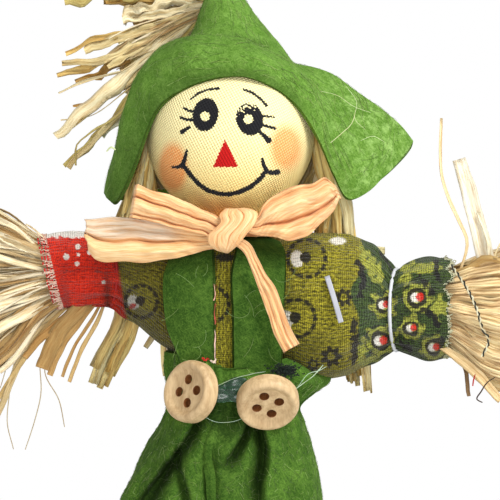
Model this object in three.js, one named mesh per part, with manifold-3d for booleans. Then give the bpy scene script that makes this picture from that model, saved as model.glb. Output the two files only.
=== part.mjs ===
// A small craft scarecrow on a wooden stake: felt hat and dungarees, printed cloth shirt, raffia hair,
// hands and feet, a raffia bow at the neck and two wooden buttons at the waist.
// Millimetres, +Z up, the face looks along -Y.
// The origin is the centre of the stake's lower end. "Left" and "right" are the viewer's, facing the figure.
import * as THREE from "three";
import { mergeVertices } from "three/addons/utils/BufferGeometryUtils.js";
import Module from "manifold-3d";

const wasm = await Module();
wasm.setup();

// Stock
const FELT = 1.4; // thickness of the hat's and dungarees' felt
const CLOTH = 0.8; // thickness of the shirt and face cloth
const GAP = 0.35; // clearance left between two pieces that lie on each other
const STAKE_RADIUS = 2.5;
const STAKE_TIP_RADIUS = 1.2;
const STAKE_TAPER = 9;

// Heights of the figure on the stake
const FOOT_Z = 80;
const HEM_Z = 98;
const ANKLE_Z = 103;
const HIP_Z = 132;
const SEAT_Z = 137;
const HIPS_Z = 144.3;
const WAIST_Z = 183;
const TROUSER_TOP_Z = 195;
const SHIRT_BOTTOM_Z = 190;
const NECK_Z = 223;
const STAKE_TOP_Z = 252;

// Head
const HEAD = new THREE.Vector3(0, 0, 247.5);
const BALL_RADIUS = 19.6;
const CLOTH_RADIUS = BALL_RADIUS + GAP + CLOTH;
const HAIR_RADIUS = CLOTH_RADIUS + GAP;
const HAIR_THICKNESS = 1.2;
const HAT_RADIUS = HAIR_RADIUS + HAIR_THICKNESS + GAP;
const NECK_RADIUS = 6;

// Torso and limbs
const TORSO_X = -1;
const TORSO_DEPTH = 0.9; // depth over width of the torso
const SLEEVE_DEPTH = 0.85;
const SHOULDER_Z = 207.5;
const LEG_X = 14;
const FOOT_WIDTH = 0.78;
const BUTTON_RADIUS = 7.4;

const degrees = THREE.MathUtils.degToRad;
const flatPoints = (pairs) => pairs.map(([x, y]) => new THREE.Vector2(x, y));

const colours = {
  wood: ["#c9a878", 0.7],
  button: ["#e6cda5", 0.6],
  felt: ["#5c8a34", 0.95],
  print: ["#6f6a25", 0.9],
  redPrint: ["#b3271d", 0.9],
  face: ["#efe0a8", 0.85],
  straw: ["#d9c08a", 0.8],
  bow: ["#f2bf90", 0.75],
  thread: ["#e8e8ea", 0.5],
  wadding: ["#f0efe8", 0.95],
  glue: ["#b9c7b4", 0.15],
  tag: ["#b4b9bf", 0.4],
};
const materials = {};
for (const [name, [color, roughness]] of Object.entries(colours)) {
  materials[name] = new THREE.MeshStandardMaterial({ color, roughness, metalness: 0 });
}

const scarecrow = new THREE.Group();
const bodies = {};
for (const name of ["torso", "head", "left_arm", "right_arm", "left_leg", "right_leg"]) {
  bodies[name] = new THREE.Group();
  scarecrow.add(bodies[name]);
}

function add(body, name, geometry, material) {
  const mesh = new THREE.Mesh(geometry, materials[material]);
  mesh.name = name;
  bodies[body].add(mesh);
  return mesh;
}

// ---- shape helpers ------------------------------------------------------------------------------

// A closed profile of [radius, height] pairs turned about Z.
// It runs anticlockwise, seen with the axis on the left.
function turned(profile, segments) {
  const area = profile.reduce((sum, [r, h], i) => {
    const [r2, h2] = profile[(i + 1) % profile.length];
    return sum + r * h2 - r2 * h;
  }, 0);
  const ordered = area > 0 ? profile : [...profile].reverse();
  const points = flatPoints(ordered);
  if (ordered[0][0] > 0) points.push(points[0].clone());
  return new THREE.LatheGeometry(points, segments).rotateX(Math.PI / 2);
}

// The profile of an open tube: the outer [radius, height] pairs, and back along the same line,
// one wall further in.
function tubeProfile(outer, wall) {
  const inner = outer.map(([r, h]) => [r - wall, h]).reverse();
  return [...outer, ...inner];
}

// Moves every vertex of a geometry by a function that changes the vector it is given.
function reshape(geometry, change) {
  const position = geometry.getAttribute("position");
  const point = new THREE.Vector3();
  for (let i = 0; i < position.count; i++) {
    point.fromBufferAttribute(position, i);
    change(point);
    position.setXYZ(i, point.x, point.y, point.z);
  }
  return geometry;
}

function solidOf(geometry) {
  const bare = geometry.index ? geometry.toNonIndexed() : geometry.clone();
  bare.deleteAttribute("normal");
  bare.deleteAttribute("uv");
  const merged = mergeVertices(bare, 1e-3);
  return new wasm.Manifold(
    new wasm.Mesh({
      numProp: 3,
      vertProperties: merged.attributes.position.array,
      triVerts: new Uint32Array(merged.index.array),
    }),
  );
}

function geometryOf(solid) {
  const { vertProperties, triVerts } = solid.getMesh();
  return new THREE.BufferGeometry()
    .setAttribute("position", new THREE.BufferAttribute(vertProperties, 3))
    .setIndex(new THREE.BufferAttribute(triVerts, 1));
}

function cut(geometry, ...tools) {
  return geometryOf(tools.reduce((solid, tool) => solid.subtract(solidOf(tool)), solidOf(geometry)));
}

function common(geometry, tool) {
  return geometryOf(solidOf(geometry).intersect(solidOf(tool)));
}

function box(low, high) {
  const size = high.map((v, i) => v - low[i]);
  const middle = high.map((v, i) => (v + low[i]) / 2);
  return new THREE.BoxGeometry(...size).translate(...middle);
}

function ball(radii, centre, turn = 0) {
  return new THREE.SphereGeometry(1, 18, 12)
    .scale(...radii)
    .rotateY(turn)
    .translate(...centre);
}

// A flat plate of an outline in the XZ plane, from front to back in Y.
function plate(outline, front, back) {
  const shape = new THREE.Shape(flatPoints(outline));
  return new THREE.ExtrudeGeometry(shape, { depth: back - front, bevelEnabled: false })
    .rotateX(Math.PI / 2)
    .translate(0, back, 0);
}

// A ring of cord lying in the XY plane, wider than it is deep by the given depth.
function ring(radius, cord, depth) {
  return new THREE.TorusGeometry(radius, cord, 6, 20).scale(1, depth, 1);
}

// ---- stake and torso ----------------------------------------------------------------------------

function stake() {
  const profile = [
    [0, 0],
    [STAKE_TIP_RADIUS, 0],
    [STAKE_RADIUS, STAKE_TAPER],
    [STAKE_RADIUS, STAKE_TOP_Z],
    [0, STAKE_TOP_Z],
  ];
  return turned(profile, 20);
}

const SHIRT = [
  [12.5, SHIRT_BOTTOM_Z],
  [13.2, 196],
  [13.4, 203],
  [13.0, 210],
  [12.0, 215],
  [10.4, 219],
  [8.0, 221.5],
];

const onTorso = (geometry) => geometry.scale(1, TORSO_DEPTH, 1).translate(TORSO_X, 0, 0);

// The shirt's outline, a distance out from it, as [radius, height] pairs.
const aroundShirt = (out) => SHIRT.map(([r, z]) => [r + out, z + out * Math.max(0, (z - 205) / 20)]);

function shirtBody() {
  return onTorso(turned(tubeProfile(SHIRT, CLOTH), 24));
}

// Soft filling of a turned shell, with a hole for the stake right through it.
function filling(outline, clearance, shape) {
  const outer = outline.map(([r, z]) => [r - clearance, z]);
  const bore = STAKE_RADIUS + GAP;
  const top = outer[outer.length - 1][1];
  const solid = shape(turned([[0, outer[0][1]], ...outer, [0, top]], 20));
  const drill = new THREE.CylinderGeometry(bore, bore, 80, 16)
    .rotateX(Math.PI / 2)
    .translate(0, 0, outer[0][1] + 35);
  return cut(solid, drill);
}

// A felt brace over one shoulder: the part of a felt shell around the shirt that lies between two planes.
function brace(fromX, toX) {
  const lift = GAP + FELT;
  const shell = onTorso(turned(tubeProfile(aroundShirt(lift), FELT), 36));
  return common(shell, box([fromX, -30, TROUSER_TOP_Z + 0.5], [toX, 30, 240]));
}

add("torso", "stake", stake(), "wood");
add("torso", "shirt_body", shirtBody(), "print");
add("torso", "body_stuffing", filling(SHIRT, CLOTH + GAP, onTorso), "wadding");
add("torso", "brace_left", brace(-13, -4.4), "felt");
add("torso", "brace_right", brace(0.2, 11), "felt");

// ---- trousers -----------------------------------------------------------------------------------

const SEAT = [
  [25.6, SEAT_Z],
  [26.0, HIPS_Z],
  [25.8, 151],
  [24.2, 160],
  [21.2, 168],
  [17.6, 176],
  [15.2, WAIST_Z],
  [15.4, 189],
  [16.2, TROUSER_TOP_Z],
];

// The seat is nearly round at the waist and flatter towards the legs.
function seatDepth(z) {
  return THREE.MathUtils.lerp(0.66, 0.92, THREE.MathUtils.smoothstep(z, SEAT_Z, WAIST_Z));
}

const onSeat = (geometry) => reshape(geometry, (p) => (p.y *= seatDepth(p.z)));

function trousersSeat() {
  return onSeat(turned(tubeProfile(SEAT, FELT), 28));
}

function hipsOutline() {
  const within = SEAT.filter(([, z]) => z >= HIPS_Z && z < SHIRT_BOTTOM_Z - 1);
  return [...within, [15.4, SHIRT_BOTTOM_Z - GAP]];
}

add("torso", "trousers_seat", trousersSeat(), "felt");
add("torso", "hips_stuffing", filling(hipsOutline(), FELT + GAP, onSeat), "wadding");
const waistRing = ring(16.3, 0.6, seatDepth(WAIST_Z)).translate(0, 0, WAIST_Z);
add("torso", "waist_tie", waistRing, "thread");

// ---- buttons ------------------------------------------------------------------------------------

// A turned wooden button with a raised rim and four holes, its face along +Z.
function button() {
  const rim = BUTTON_RADIUS;
  const profile = [
    [0, 0],
    [rim - 1.2, 0],
    [rim - 0.2, 1.0],
    [rim, 2.2],
    [rim - 0.4, 3.6],
    [rim - 1.4, 4.2],
    [rim - 2.3, 3.7],
    [rim - 2.9, 3.0],
    [0, 2.9],
  ];
  const holes = [];
  for (let i = 0; i < 4; i++) {
    const angle = degrees(i * 90 + 32);
    holes.push(
      new THREE.CylinderGeometry(1.2, 1.2, 12, 12)
        .rotateX(Math.PI / 2)
        .translate(2.6 * Math.cos(angle), 2.6 * Math.sin(angle), 0),
    );
  }
  return cut(turned(profile, 28), ...holes);
}

// Turns a button's face from +Z to the front, then down by tilt and to the viewer's left by swing,
// in degrees.
function placeButton(name, centre, tilt, swing) {
  const face = button()
    .rotateX(degrees(90 + tilt))
    .rotateZ(degrees(-swing));
  add("torso", name, face.translate(...centre), "button");
}

placeButton("button_left", [-8.8, -13.9, 186.2], -10, 42);
placeButton("button_right", [8.6, -17.2, 184.8], 32, -4);
add("torso", "glue_bead", ball([1.9, 0.9, 3.4], [-1.0, -16.9, 186.6]), "glue");

// ---- bow ----------------------------------------------------------------------------------------

const KNOT_CENTRE = [0, -16.4, 223.4];
const KNOT_RADII = [3.9, 3.1, 6.8];
const KNOT_TURN = degrees(35);

// A flat piece of raffia, cut back from the knot that it comes out of.
function raffia(outline, front, back) {
  const reach = KNOT_RADII.map((r) => r + GAP);
  return cut(plate(outline, front, back), ball(reach, KNOT_CENTRE, KNOT_TURN));
}

add("torso", "bow_knot", ball(KNOT_RADII, KNOT_CENTRE, KNOT_TURN), "bow");
add("torso", "bow_neck_band", ring(9.9, 1.3, 1).translate(0, 0, 225.3), "bow");

const loopLeft = [
  [-21.3, 235.5], [-17, 234], [-10, 231], [-2, 228],
  [-2, 223], [-10, 224.5], [-17.5, 226.8], [-23, 227.4],
];
const loopRight = [
  [2, 223], [4, 227.5], [9.8, 232.6], [15, 235.2], [22.2, 237],
  [25.3, 232], [24, 229], [16, 223.2], [9.8, 222.4],
];
const tailLeft = [
  [-34.5, 227], [-24, 227.4], [-14, 226], [-2, 222.5],
  [-2, 220.5], [-8, 218.6], [-20, 217.4], [-27, 217.2], [-33, 218.4],
];
const tailRight = [
  [-1, 221], [3.4, 221.5], [8.9, 213.9], [12, 206.8], [15.8, 198.4],
  [12.1, 195.8], [8.9, 202.4], [5.6, 211], [2.4, 217.5],
];
add("torso", "bow_loop_left", raffia(loopLeft, -18.6, -15.4), "bow");
add("torso", "bow_loop_right", raffia(loopRight, -18.4, -15.2), "bow");
add("torso", "bow_tail_left", raffia(tailLeft, -15.0, -13.6), "bow");
add("torso", "bow_tail_right", raffia(tailRight, -16.2, -14.8), "bow");

// ---- head ---------------------------------------------------------------------------------------

const onHead = (geometry) => geometry.translate(HEAD.x, HEAD.y, HEAD.z);

// Points of a circle about the head's centre, from one angle above the horizon down to another.
function arc(radius, from, to, steps) {
  const points = [];
  for (let i = 0; i <= steps; i++) {
    const angle = degrees(from + ((to - from) * i) / steps);
    points.push([radius * Math.cos(angle), radius * Math.sin(angle)]);
  }
  points[0][0] = from === 90 ? 0 : points[0][0];
  return points;
}

function headBall() {
  const core = new THREE.SphereGeometry(BALL_RADIUS, 24, 16).rotateX(Math.PI / 2);
  const bore = STAKE_RADIUS + GAP;
  const depth = STAKE_TOP_Z + 1 - HEAD.z;
  const drill = new THREE.CylinderGeometry(bore, bore, 40, 16).rotateX(Math.PI / 2);
  return onHead(cut(core, drill.translate(0, 0, depth - 20)));
}

// The face cloth: a sphere gathered into a neck below.
function headCloth() {
  const neckBottom = NECK_Z - HEAD.z;
  const outerEnd = -THREE.MathUtils.radToDeg(Math.acos(NECK_RADIUS / CLOTH_RADIUS));
  const innerNeck = NECK_RADIUS - CLOTH;
  const innerEnd = -THREE.MathUtils.radToDeg(Math.acos(innerNeck / (CLOTH_RADIUS - CLOTH)));
  const outer = arc(CLOTH_RADIUS, 90, outerEnd, 13);
  const inner = arc(CLOTH_RADIUS - CLOTH, 90, innerEnd, 13).reverse();
  return onHead(turned([...outer, [NECK_RADIUS, neckBottom], [innerNeck, neckBottom], ...inner], 24));
}

// The raffia glued over the back and sides of the head, under the hat.
function hairCap() {
  const outer = arc(HAIR_RADIUS + HAIR_THICKNESS, 60, -32, 8);
  const inner = arc(HAIR_RADIUS, 60, -32, 8).reverse();
  const shell = turned([...outer, ...inner], 28);
  return onHead(cut(shell, box([-40, -40, -40], [40, -3, 40])));
}

add("head", "head_ball", headBall(), "wadding");
add("head", "head_cloth", headCloth(), "face");
add("head", "neck_thread", ring(NECK_RADIUS + 1, 0.55, 1).translate(0, 0, 224.6), "thread");
add("head", "hair_cap", hairCap(), "straw");

// ---- hat ----------------------------------------------------------------------------------------

// The crown runs along this line, from its bent tip behind the peak to the fold where the brim begins.
const crownLine = new THREE.CatmullRomCurve3([
  new THREE.Vector3(-3, 15, 281.5),
  new THREE.Vector3(-2.8, 11, 284),
  new THREE.Vector3(-2.3, 6, 282.6),
  new THREE.Vector3(-1.6, 2, 277),
  new THREE.Vector3(-0.6, 0, 271),
  new THREE.Vector3(0, 0, 265),
]);
const crownRadius = new THREE.SplineCurve(
  flatPoints([[0, 2], [1, 2.4], [2, 3.2], [3, 6], [4, 10.8], [5, 15.8]]),
);

// The brim's edge, from the middle of the forehead round by the viewer's right: [angle on the fold, x, y, z].
const BRIM = [
  [0, 0.5, -17.3, 261.4],
  [25, 9.5, -15.5, 258.8],
  [48, 16.8, -12.5, 253.3],
  [65, 20.8, -10.5, 246],
  [78, 23.5, -10, 238.5],
  [88, 27, -9.5, 232.2],
  [100, 33.5, -6.5, 234.4],
  [112, 39, -2.5, 240],
  [124, 43.4, 2.5, 246.4],
  [140, 37, 13, 243],
  [158, 25, 23, 238.5],
  [178, 8, 30, 235],
  [198, -8, 30.5, 233.5],
  [218, -20, 25, 232.5],
  [238, -28, 15.5, 232.8],
  [254, -31, 6, 234.2],
  [266, -29, -1.5, 231.8],
  [276, -24.5, -5.5, 231.4],
  [288, -22.4, -8, 239],
  [302, -20.4, -9.5, 248],
  [318, -16.8, -12, 254.8],
  [338, -8.5, -16, 260],
];
const brimEdge = new THREE.CatmullRomCurve3(BRIM.map(([, x, y, z]) => new THREE.Vector3(x, y, z)), true);

// The angle on the fold for a share of the way round the brim.
function foldAngle(share) {
  const at = share * BRIM.length;
  const i = Math.floor(at) % BRIM.length;
  const next = i + 1 < BRIM.length ? BRIM[i + 1][0] : 360;
  return degrees(THREE.MathUtils.lerp(BRIM[i][0], next, at - Math.floor(at)));
}

// A point of the crown: share of the way round, and 0 at the tip to 1 at the fold.
function crownPoint(share, along) {
  const centre = crownLine.getPoint(along);
  const forward = crownLine.getTangent(along).negate();
  const right = new THREE.Vector3(1, 0, 0).addScaledVector(forward, -forward.x).normalize();
  const front = new THREE.Vector3().crossVectors(right, forward);
  const radius = along === 0 ? 0 : crownRadius.getPoint(along).y;
  const angle = foldAngle(share);
  return centre
    .addScaledVector(front, radius * Math.cos(angle))
    .addScaledVector(right, radius * Math.sin(angle));
}

// A point of the felt: share of the way round, and 0 at the tip, 0.5 at the fold and 1 at the brim's edge.
function hatPoint(share, out) {
  if (out <= 0.5) return crownPoint(share, out * 2);
  const point = crownPoint(share, 1).lerp(brimEdge.getPoint(share), out * 2 - 1);
  const fromHead = point.clone().sub(HEAD);
  const reach = Math.max(fromHead.length(), HAT_RADIUS);
  return HEAD.clone().addScaledVector(fromHead.normalize(), reach);
}

function hatNormal(share, out) {
  if (out === 0) return crownLine.getTangent(0).negate();
  const step = 0.004;
  const round = hatPoint((share + step) % 1, out).sub(hatPoint((share + 1 - step) % 1, out));
  const down = hatPoint(share, Math.min(1, out + step)).sub(hatPoint(share, out - step));
  return down.cross(round).normalize();
}

// A flat disc of felt, draped: its height says which face a point is on, and its radius how far out it is.
function hat() {
  const stations = [0, 0.08, 0.16, 0.24, 0.31, 0.38, 0.44, 0.5, 0.58, 0.67, 0.78, 0.89, 1];
  const outer = stations.map((r) => [r, 1]);
  const inner = stations.map((r) => [r, 0]).reverse();
  const disc = turned([...outer, ...inner], 2 * BRIM.length);
  return reshape(disc, (p) => {
    const out = Math.min(1, Math.hypot(p.x, p.y));
    const share = (Math.atan2(p.x, -p.y) / (2 * Math.PI) + 1) % 1;
    const face = p.z;
    const snapped = Math.round(out * 1e4) / 1e4;
    p.copy(hatPoint(share, snapped)).addScaledVector(hatNormal(share, snapped), face * FELT);
  });
}

add("head", "hat", hat(), "felt");

// The raffia tuft bound to the bent tip of the crown, fanned out to the viewer's left.
function tuftStraw() {
  const fan = new THREE.Shape();
  const from = degrees(176);
  const to = degrees(228);
  fan.absarc(0, 0, 44, from, to, false);
  fan.absarc(0, 0, 6.5, to, from, true);
  return new THREE.ExtrudeGeometry(fan, { depth: 8, bevelEnabled: false, curveSegments: 10 })
    .rotateX(Math.PI / 2)
    .translate(-1.5, 20.5, 280.5);
}

const tipTie = ring(4.4, 0.5, 1)
  .rotateX(degrees(58))
  .translate(...crownLine.getPoint(0.09).toArray());
add("head", "tuft_tie", tipTie, "thread");
add("head", "tuft_straw", tuftStraw(), "straw");

// ---- hair falling behind the shoulders ----------------------------------------------------------

const fallLeft = [
  [-12.5, 230], [-15, 235], [-22, 235], [-47, 200], [-42, 190], [-32, 184], [-20, 184], [-12.5, 196],
];
const fallBack = [[-12, 232], [-12, 178], [11, 176], [12.5, 232]];
const fallRight = [[13, 230], [15, 235], [22, 235], [37, 212], [36, 183], [22, 184], [13, 196]];
const FALL_Y = [16, 18];
add("torso", "hair_fall_left", plate(fallLeft, ...FALL_Y), "straw");
add("torso", "hair_fall_back", plate(fallBack, ...FALL_Y), "straw");
add("torso", "hair_fall_right", plate(fallRight, ...FALL_Y), "straw");

// ---- arms ---------------------------------------------------------------------------------------

// Each arm's outline, outwards from the shoulder:
// [distance from the stake, sleeve radius, height of its middle].
const ARM_RIGHT = [
  [14.4, 3.6, 207.2],
  [15.4, 7.0, 207],
  [17.8, 10.8, 206.8],
  [21.0, 14.9, 206.6],
  [25.5, 17.0, 206.4],
  [31.0, 14.6, 206],
  [36.0, 11.0, 205.6],
  [39.6, 9.4, 205.4],
  [43.0, 10.8, 205.5],
  [47.5, 12.0, 205.7],
  [51.8, 12.5, 205.8],
];
const ARM_LEFT = [
  [16.2, 3.6, 208],
  [17.4, 7.2, 208.5],
  [19.4, 10.2, 209.5],
  [21.5, 11.2, 210.5],
  [24.5, 10.2, 212.5],
  [27.5, 8.8, 214],
  [30.0, 8.1, 214.5],
  [33.0, 8.9, 215],
  [38.0, 9.1, 215.2],
  [42.7, 9.3, 215.2],
];
const HAND_RIGHT = [[58, 12.5, 206], [68, 15, 206], [80, 17, 206]];
const HAND_LEFT = [[49, 10.5, 214], [60, 14, 212], [72.5, 16, 210]];

// A turned solid laid along an arm, to one side of the stake, its middle following the arm's heights.
function alongArm(profile, arm, side) {
  const solid = turned(profile, 20).rotateY(degrees(90));
  return reshape(solid, (p) => {
    const after = arm.findIndex(([x]) => x >= p.x - 1e-3);
    const [x1, , z1] = arm[after];
    const [x0, , z0] = arm[Math.max(0, after - 1)];
    p.y *= SLEEVE_DEPTH;
    p.z += x1 > x0 ? THREE.MathUtils.lerp(z0, z1, (p.x - x0) / (x1 - x0)) : z1;
    if (side < 0) {
      p.x = -p.x;
      p.y = -p.y;
    }
  });
}

const pairsOf = (arm) => arm.map(([x, r]) => [r, x]);

function addArm(side, name, arm, hand) {
  const whole = [...arm, ...hand];
  const bundle = pairsOf(arm).map(([r, x]) => [r - CLOTH - GAP, x]);
  const straw = [[0, arm[0][0]], ...bundle, ...pairsOf(hand), [0, hand[hand.length - 1][0]]];
  const body = `${name}_arm`;
  add(body, `sleeve_${name}`, alongArm(tubeProfile(pairsOf(arm), CLOTH), arm, side), "print");
  add(body, `hand_straw_${name}`, alongArm(straw, whole, side), "straw");
  const narrowest = arm.slice(3).reduce((a, b) => (b[1] < a[1] ? b : a));
  const [x, radius, z] = narrowest;
  const cord = 0.7;
  const tie = ring(radius + cord + GAP + 0.1, cord, SLEEVE_DEPTH)
    .rotateY(degrees(90))
    .translate(side * x, 0, z);
  add(body, `wrist_tie_${name}`, tie, "thread");
}

addArm(1, "right", ARM_RIGHT, HAND_RIGHT);
addArm(-1, "left", ARM_LEFT, HAND_LEFT);

const tagBar = new THREE.BoxGeometry(1.3, 0.5, 11.6)
  .rotateY(degrees(-17))
  .translate(24.2, -14.9, 208.4);
add("right_arm", "tag_bar", tagBar, "tag");

// ---- legs ---------------------------------------------------------------------------------------

// A trouser leg from its hem up to a round top, which turns inside the seat's opening.
const HIP_RADIUS = 11;
const LEG = [
  [8.2, HEM_Z],
  [7.2, ANKLE_Z],
  [8.6, 109],
  [10.4, 120],
  [HIP_RADIUS, HIP_Z],
  [9.6, HIP_Z + 5.3],
  [6.0, HIP_Z + 9.2],
];
const FOOT = [[8.6, FOOT_Z], [7.6, 90]];
const onLeg = (geometry, side) => geometry.translate(side * LEG_X, 0, 0);

function legStraw() {
  const bundle = LEG.map(([r, z]) => [r - FELT - GAP, z]);
  const top = bundle[bundle.length - 1][1];
  const solid = turned([[0, FOOT_Z], ...FOOT, ...bundle, [0, top]], 18);
  return reshape(solid, (p) => (p.y *= p.z < HEM_Z ? 1 / FOOT_WIDTH : 1));
}

function addLeg(side, name) {
  const body = `${name}_leg`;
  const ankle = ring(LEG[1][0] + 1.1, 0.6, 1).translate(0, 0, ANKLE_Z);
  add(body, `trouser_leg_${name}`, onLeg(turned(tubeProfile(LEG, FELT), 20), side), "felt");
  add(body, `foot_straw_${name}`, onLeg(legStraw(), side), "straw");
  add(body, `ankle_tie_${name}`, onLeg(ankle, side), "thread");
}

addLeg(1, "right");
addLeg(-1, "left");

export default scarecrow;
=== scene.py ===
"""Looks of a small craft scarecrow on a stake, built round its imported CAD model.

Lengths are millimetres until a mesh is made. The face looks along -Y, +Z is up, and left and right are the
viewer's, facing the figure.
"""
import math

import bmesh
import bpy
import numpy as np
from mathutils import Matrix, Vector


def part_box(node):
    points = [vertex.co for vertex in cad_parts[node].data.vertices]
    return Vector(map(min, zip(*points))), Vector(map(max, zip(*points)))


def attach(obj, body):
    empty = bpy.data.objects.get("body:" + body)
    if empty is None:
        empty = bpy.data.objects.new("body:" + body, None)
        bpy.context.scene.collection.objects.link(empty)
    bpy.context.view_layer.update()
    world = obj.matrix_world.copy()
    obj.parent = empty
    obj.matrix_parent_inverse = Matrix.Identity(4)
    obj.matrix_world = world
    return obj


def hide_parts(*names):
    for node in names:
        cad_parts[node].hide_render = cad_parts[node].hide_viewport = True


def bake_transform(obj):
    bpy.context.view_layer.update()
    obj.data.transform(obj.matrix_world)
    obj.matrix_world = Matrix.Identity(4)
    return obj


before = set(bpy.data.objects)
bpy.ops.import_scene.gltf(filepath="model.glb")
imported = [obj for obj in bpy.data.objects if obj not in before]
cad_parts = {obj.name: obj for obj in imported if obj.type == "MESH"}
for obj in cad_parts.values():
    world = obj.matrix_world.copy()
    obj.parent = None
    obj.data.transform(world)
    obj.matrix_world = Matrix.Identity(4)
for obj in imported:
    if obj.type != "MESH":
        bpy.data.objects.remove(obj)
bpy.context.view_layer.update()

MM = 0.001
TURN = 2 * math.pi


# ---- places taken from the frame -----------------------------------------------------------------

# The head's middle, measured down from the top of its cloth, since the cloth is drawn in below.
HEAD = np.array([-0.4, 0.0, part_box("head_cloth")[1][2] / MM - 20.75])
HEAD_RADIUS = 20.3
# The camera, on a long lens level with the neck.
CAMERA = np.array([4.3, -900.0, 220.0])
# The floor's radius, small enough for all of it to lie below the front view.
FLOOR_REACH = 2200.0


# ---- curves and fields ---------------------------------------------------------------------------

def spline(stations, x):
    """A smooth curve through rows of (position, value, ...), read at the positions x."""
    stations = np.asarray(stations, float)
    at, values = stations[:, 0], stations[:, 1:]
    slope = np.gradient(values, at, axis=0)
    x = np.clip(np.asarray(x, float), at[0], at[-1])
    i = np.clip(np.searchsorted(at, x, side="right") - 1, 0, len(at) - 2)
    gap = (at[i + 1] - at[i])[..., None]
    t = (x - at[i])[..., None] / gap
    start, end = values[i], values[i + 1]
    leave, arrive = slope[i] * gap, slope[i + 1] * gap
    return (
        (2 * t**3 - 3 * t**2 + 1) * start
        + (t**3 - 2 * t**2 + t) * leave
        + (3 * t**2 - 2 * t**3) * end
        + (t**3 - t**2) * arrive
    )


def value(stations, x):
    """A smooth curve through (position, value) pairs, read at the positions x."""
    return spline(stations, x)[..., 0]


def route(points, count):
    """Points spread evenly along a smooth curve through the given ones."""
    points = np.asarray(points, float)
    steps = np.linalg.norm(np.diff(points, axis=0), axis=1)
    lengths = np.concatenate([[0], np.cumsum(steps)])
    return spline(np.column_stack([lengths, points]), np.linspace(0, lengths[-1], count))


def ease(low, high, x):
    """A smooth step from 0 at low to 1 at high."""
    t = np.clip((x - low) / (high - low), 0, 1)
    return t * t * (3 - 2 * t)


def bell(x, middle, width):
    """A round bump: 1 at the middle, and nearly 0 at twice the width from it."""
    return np.exp(-(((x - middle) / width) ** 2))


def unit(vectors):
    """Vectors of length 1 in the same directions."""
    return vectors / np.maximum(np.linalg.norm(vectors, axis=-1, keepdims=True), 1e-9)


def waves(points, size, seed, count=14):
    """A smooth random field, about -1 to 1, with bumps about size apart."""
    rng = np.random.default_rng(seed)
    axes = unit(rng.normal(size=(count, points.shape[-1])))
    pace = rng.uniform(0.6, 1.6, count) * math.pi / size
    phase = rng.uniform(0, TURN, count)
    return np.sin(points @ (axes.T * pace) + phase).sum(-1) * 0.8 / math.sqrt(count)


def seen(points):
    """Where points show from the camera, as x and z in the plane of the figure's axis."""
    share = CAMERA[1] / (CAMERA[1] - points[..., 1])
    return CAMERA[0] + (points[..., 0] - CAMERA[0]) * share, CAMERA[2] + (points[..., 2] - CAMERA[2]) * share


def to_segment(x, z, a, b):
    """Distance in the XZ plane to the segment from a to b, and how far along it the nearest point is."""
    ax, az = a
    dx, dz = b[0] - ax, b[1] - az
    t = np.clip(((x - ax) * dx + (z - az) * dz) / (dx * dx + dz * dz), 0, 1)
    return np.hypot(x - ax - t * dx, z - az - t * dz), t


def stroke(x, z, points, start, end=None):
    """Distance outside a brush stroke whose width goes from start to end."""
    end = start if end is None else end
    best = np.full(x.shape, 1e3)
    for i, (a, b) in enumerate(zip(points, points[1:])):
        distance, t = to_segment(x, z, a, b)
        share = (i + t) / (len(points) - 1)
        best = np.minimum(best, distance - (start + (end - start) * share) / 2)
    return best


def disc(x, z, centre, radius):
    """Distance outside a disc."""
    return np.hypot(x - centre[0], z - centre[1]) - radius


def oval(x, z, centre, half_width, half_height, lean):
    """Distance outside an oval that leans to the right by lean degrees."""
    c, s = math.cos(math.radians(lean)), math.sin(math.radians(lean))
    dx, dz = x - centre[0], z - centre[1]
    u, v = c * dx - s * dz, s * dx + c * dz
    return (np.hypot(u / half_width, v / half_height) - 1) * min(half_width, half_height)


def band(x, z, centre, radius, width, dashes=0):
    """Distance outside a ring drawn as a line, in dashes if a number is given."""
    line = np.abs(disc(x, z, centre, radius)) - width / 2
    if not dashes:
        return line
    beat = np.cos(dashes * np.arctan2(z - centre[1], x - centre[0]))
    return np.maximum(line, (-0.8 - beat) * radius / dashes)


def turned(section, columns):
    """Rows of points round the Z axis from a section of (radius, height)."""
    radius, height = np.array(section, float).T[..., None]
    angle = np.linspace(0, TURN, columns, endpoint=False)
    return np.stack([radius * np.cos(angle), radius * np.sin(angle), height + 0 * angle], -1)


# ---- meshes --------------------------------------------------------------------------------------

def build(name, vertices, faces, material, uv=None, fields=None):
    """An object from vertices in millimetres, quads, their corners' UVs and per-vertex fields."""
    mesh = bpy.data.meshes.new(name)
    mesh.from_pydata(np.asarray(vertices) * MM, [], np.asarray(faces))
    if uv is not None:
        layer = mesh.uv_layers.new(name="weave")
        layer.data.foreach_set("uv", np.asarray(uv, np.float32).ravel())
    for field, values in (fields or {}).items():
        values = np.asarray(values, np.float32)
        if values.ndim == 1:
            mesh.attributes.new(field, "FLOAT", "POINT").data.foreach_set("value", values)
        else:
            rgba = np.column_stack([values, np.ones(len(values), np.float32)])
            mesh.attributes.new(field, "FLOAT_COLOR", "POINT").data.foreach_set("color", rgba.ravel())
    mesh.polygons.foreach_set("use_smooth", np.ones(len(mesh.polygons), bool))
    mesh.materials.append(material)
    mesh.validate()
    mesh.update()
    item = bpy.data.objects.new(name, mesh)
    bpy.context.scene.collection.objects.link(item)
    return item


def grid_normals(points, wrap):
    """Directions square to a grid of points."""
    if wrap:
        around = np.roll(points, -1, 1) - np.roll(points, 1, 1)
    else:
        around = np.gradient(points, axis=1)
    return unit(np.cross(np.gradient(points, axis=0), around))


def outward(points):
    """Directions square to a tube of points, away from its middle line."""
    normals = grid_normals(points, True)
    return normals * np.sign(((points - points.mean(1, keepdims=True)) * normals).sum(-1).mean())


def quads(indices):
    """Faces between neighbouring rows and columns, which face the way that grid_normals gives."""
    return np.stack([indices[:-1, :-1], indices[1:, :-1], indices[1:, 1:], indices[:-1, 1:]], -1)


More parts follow.
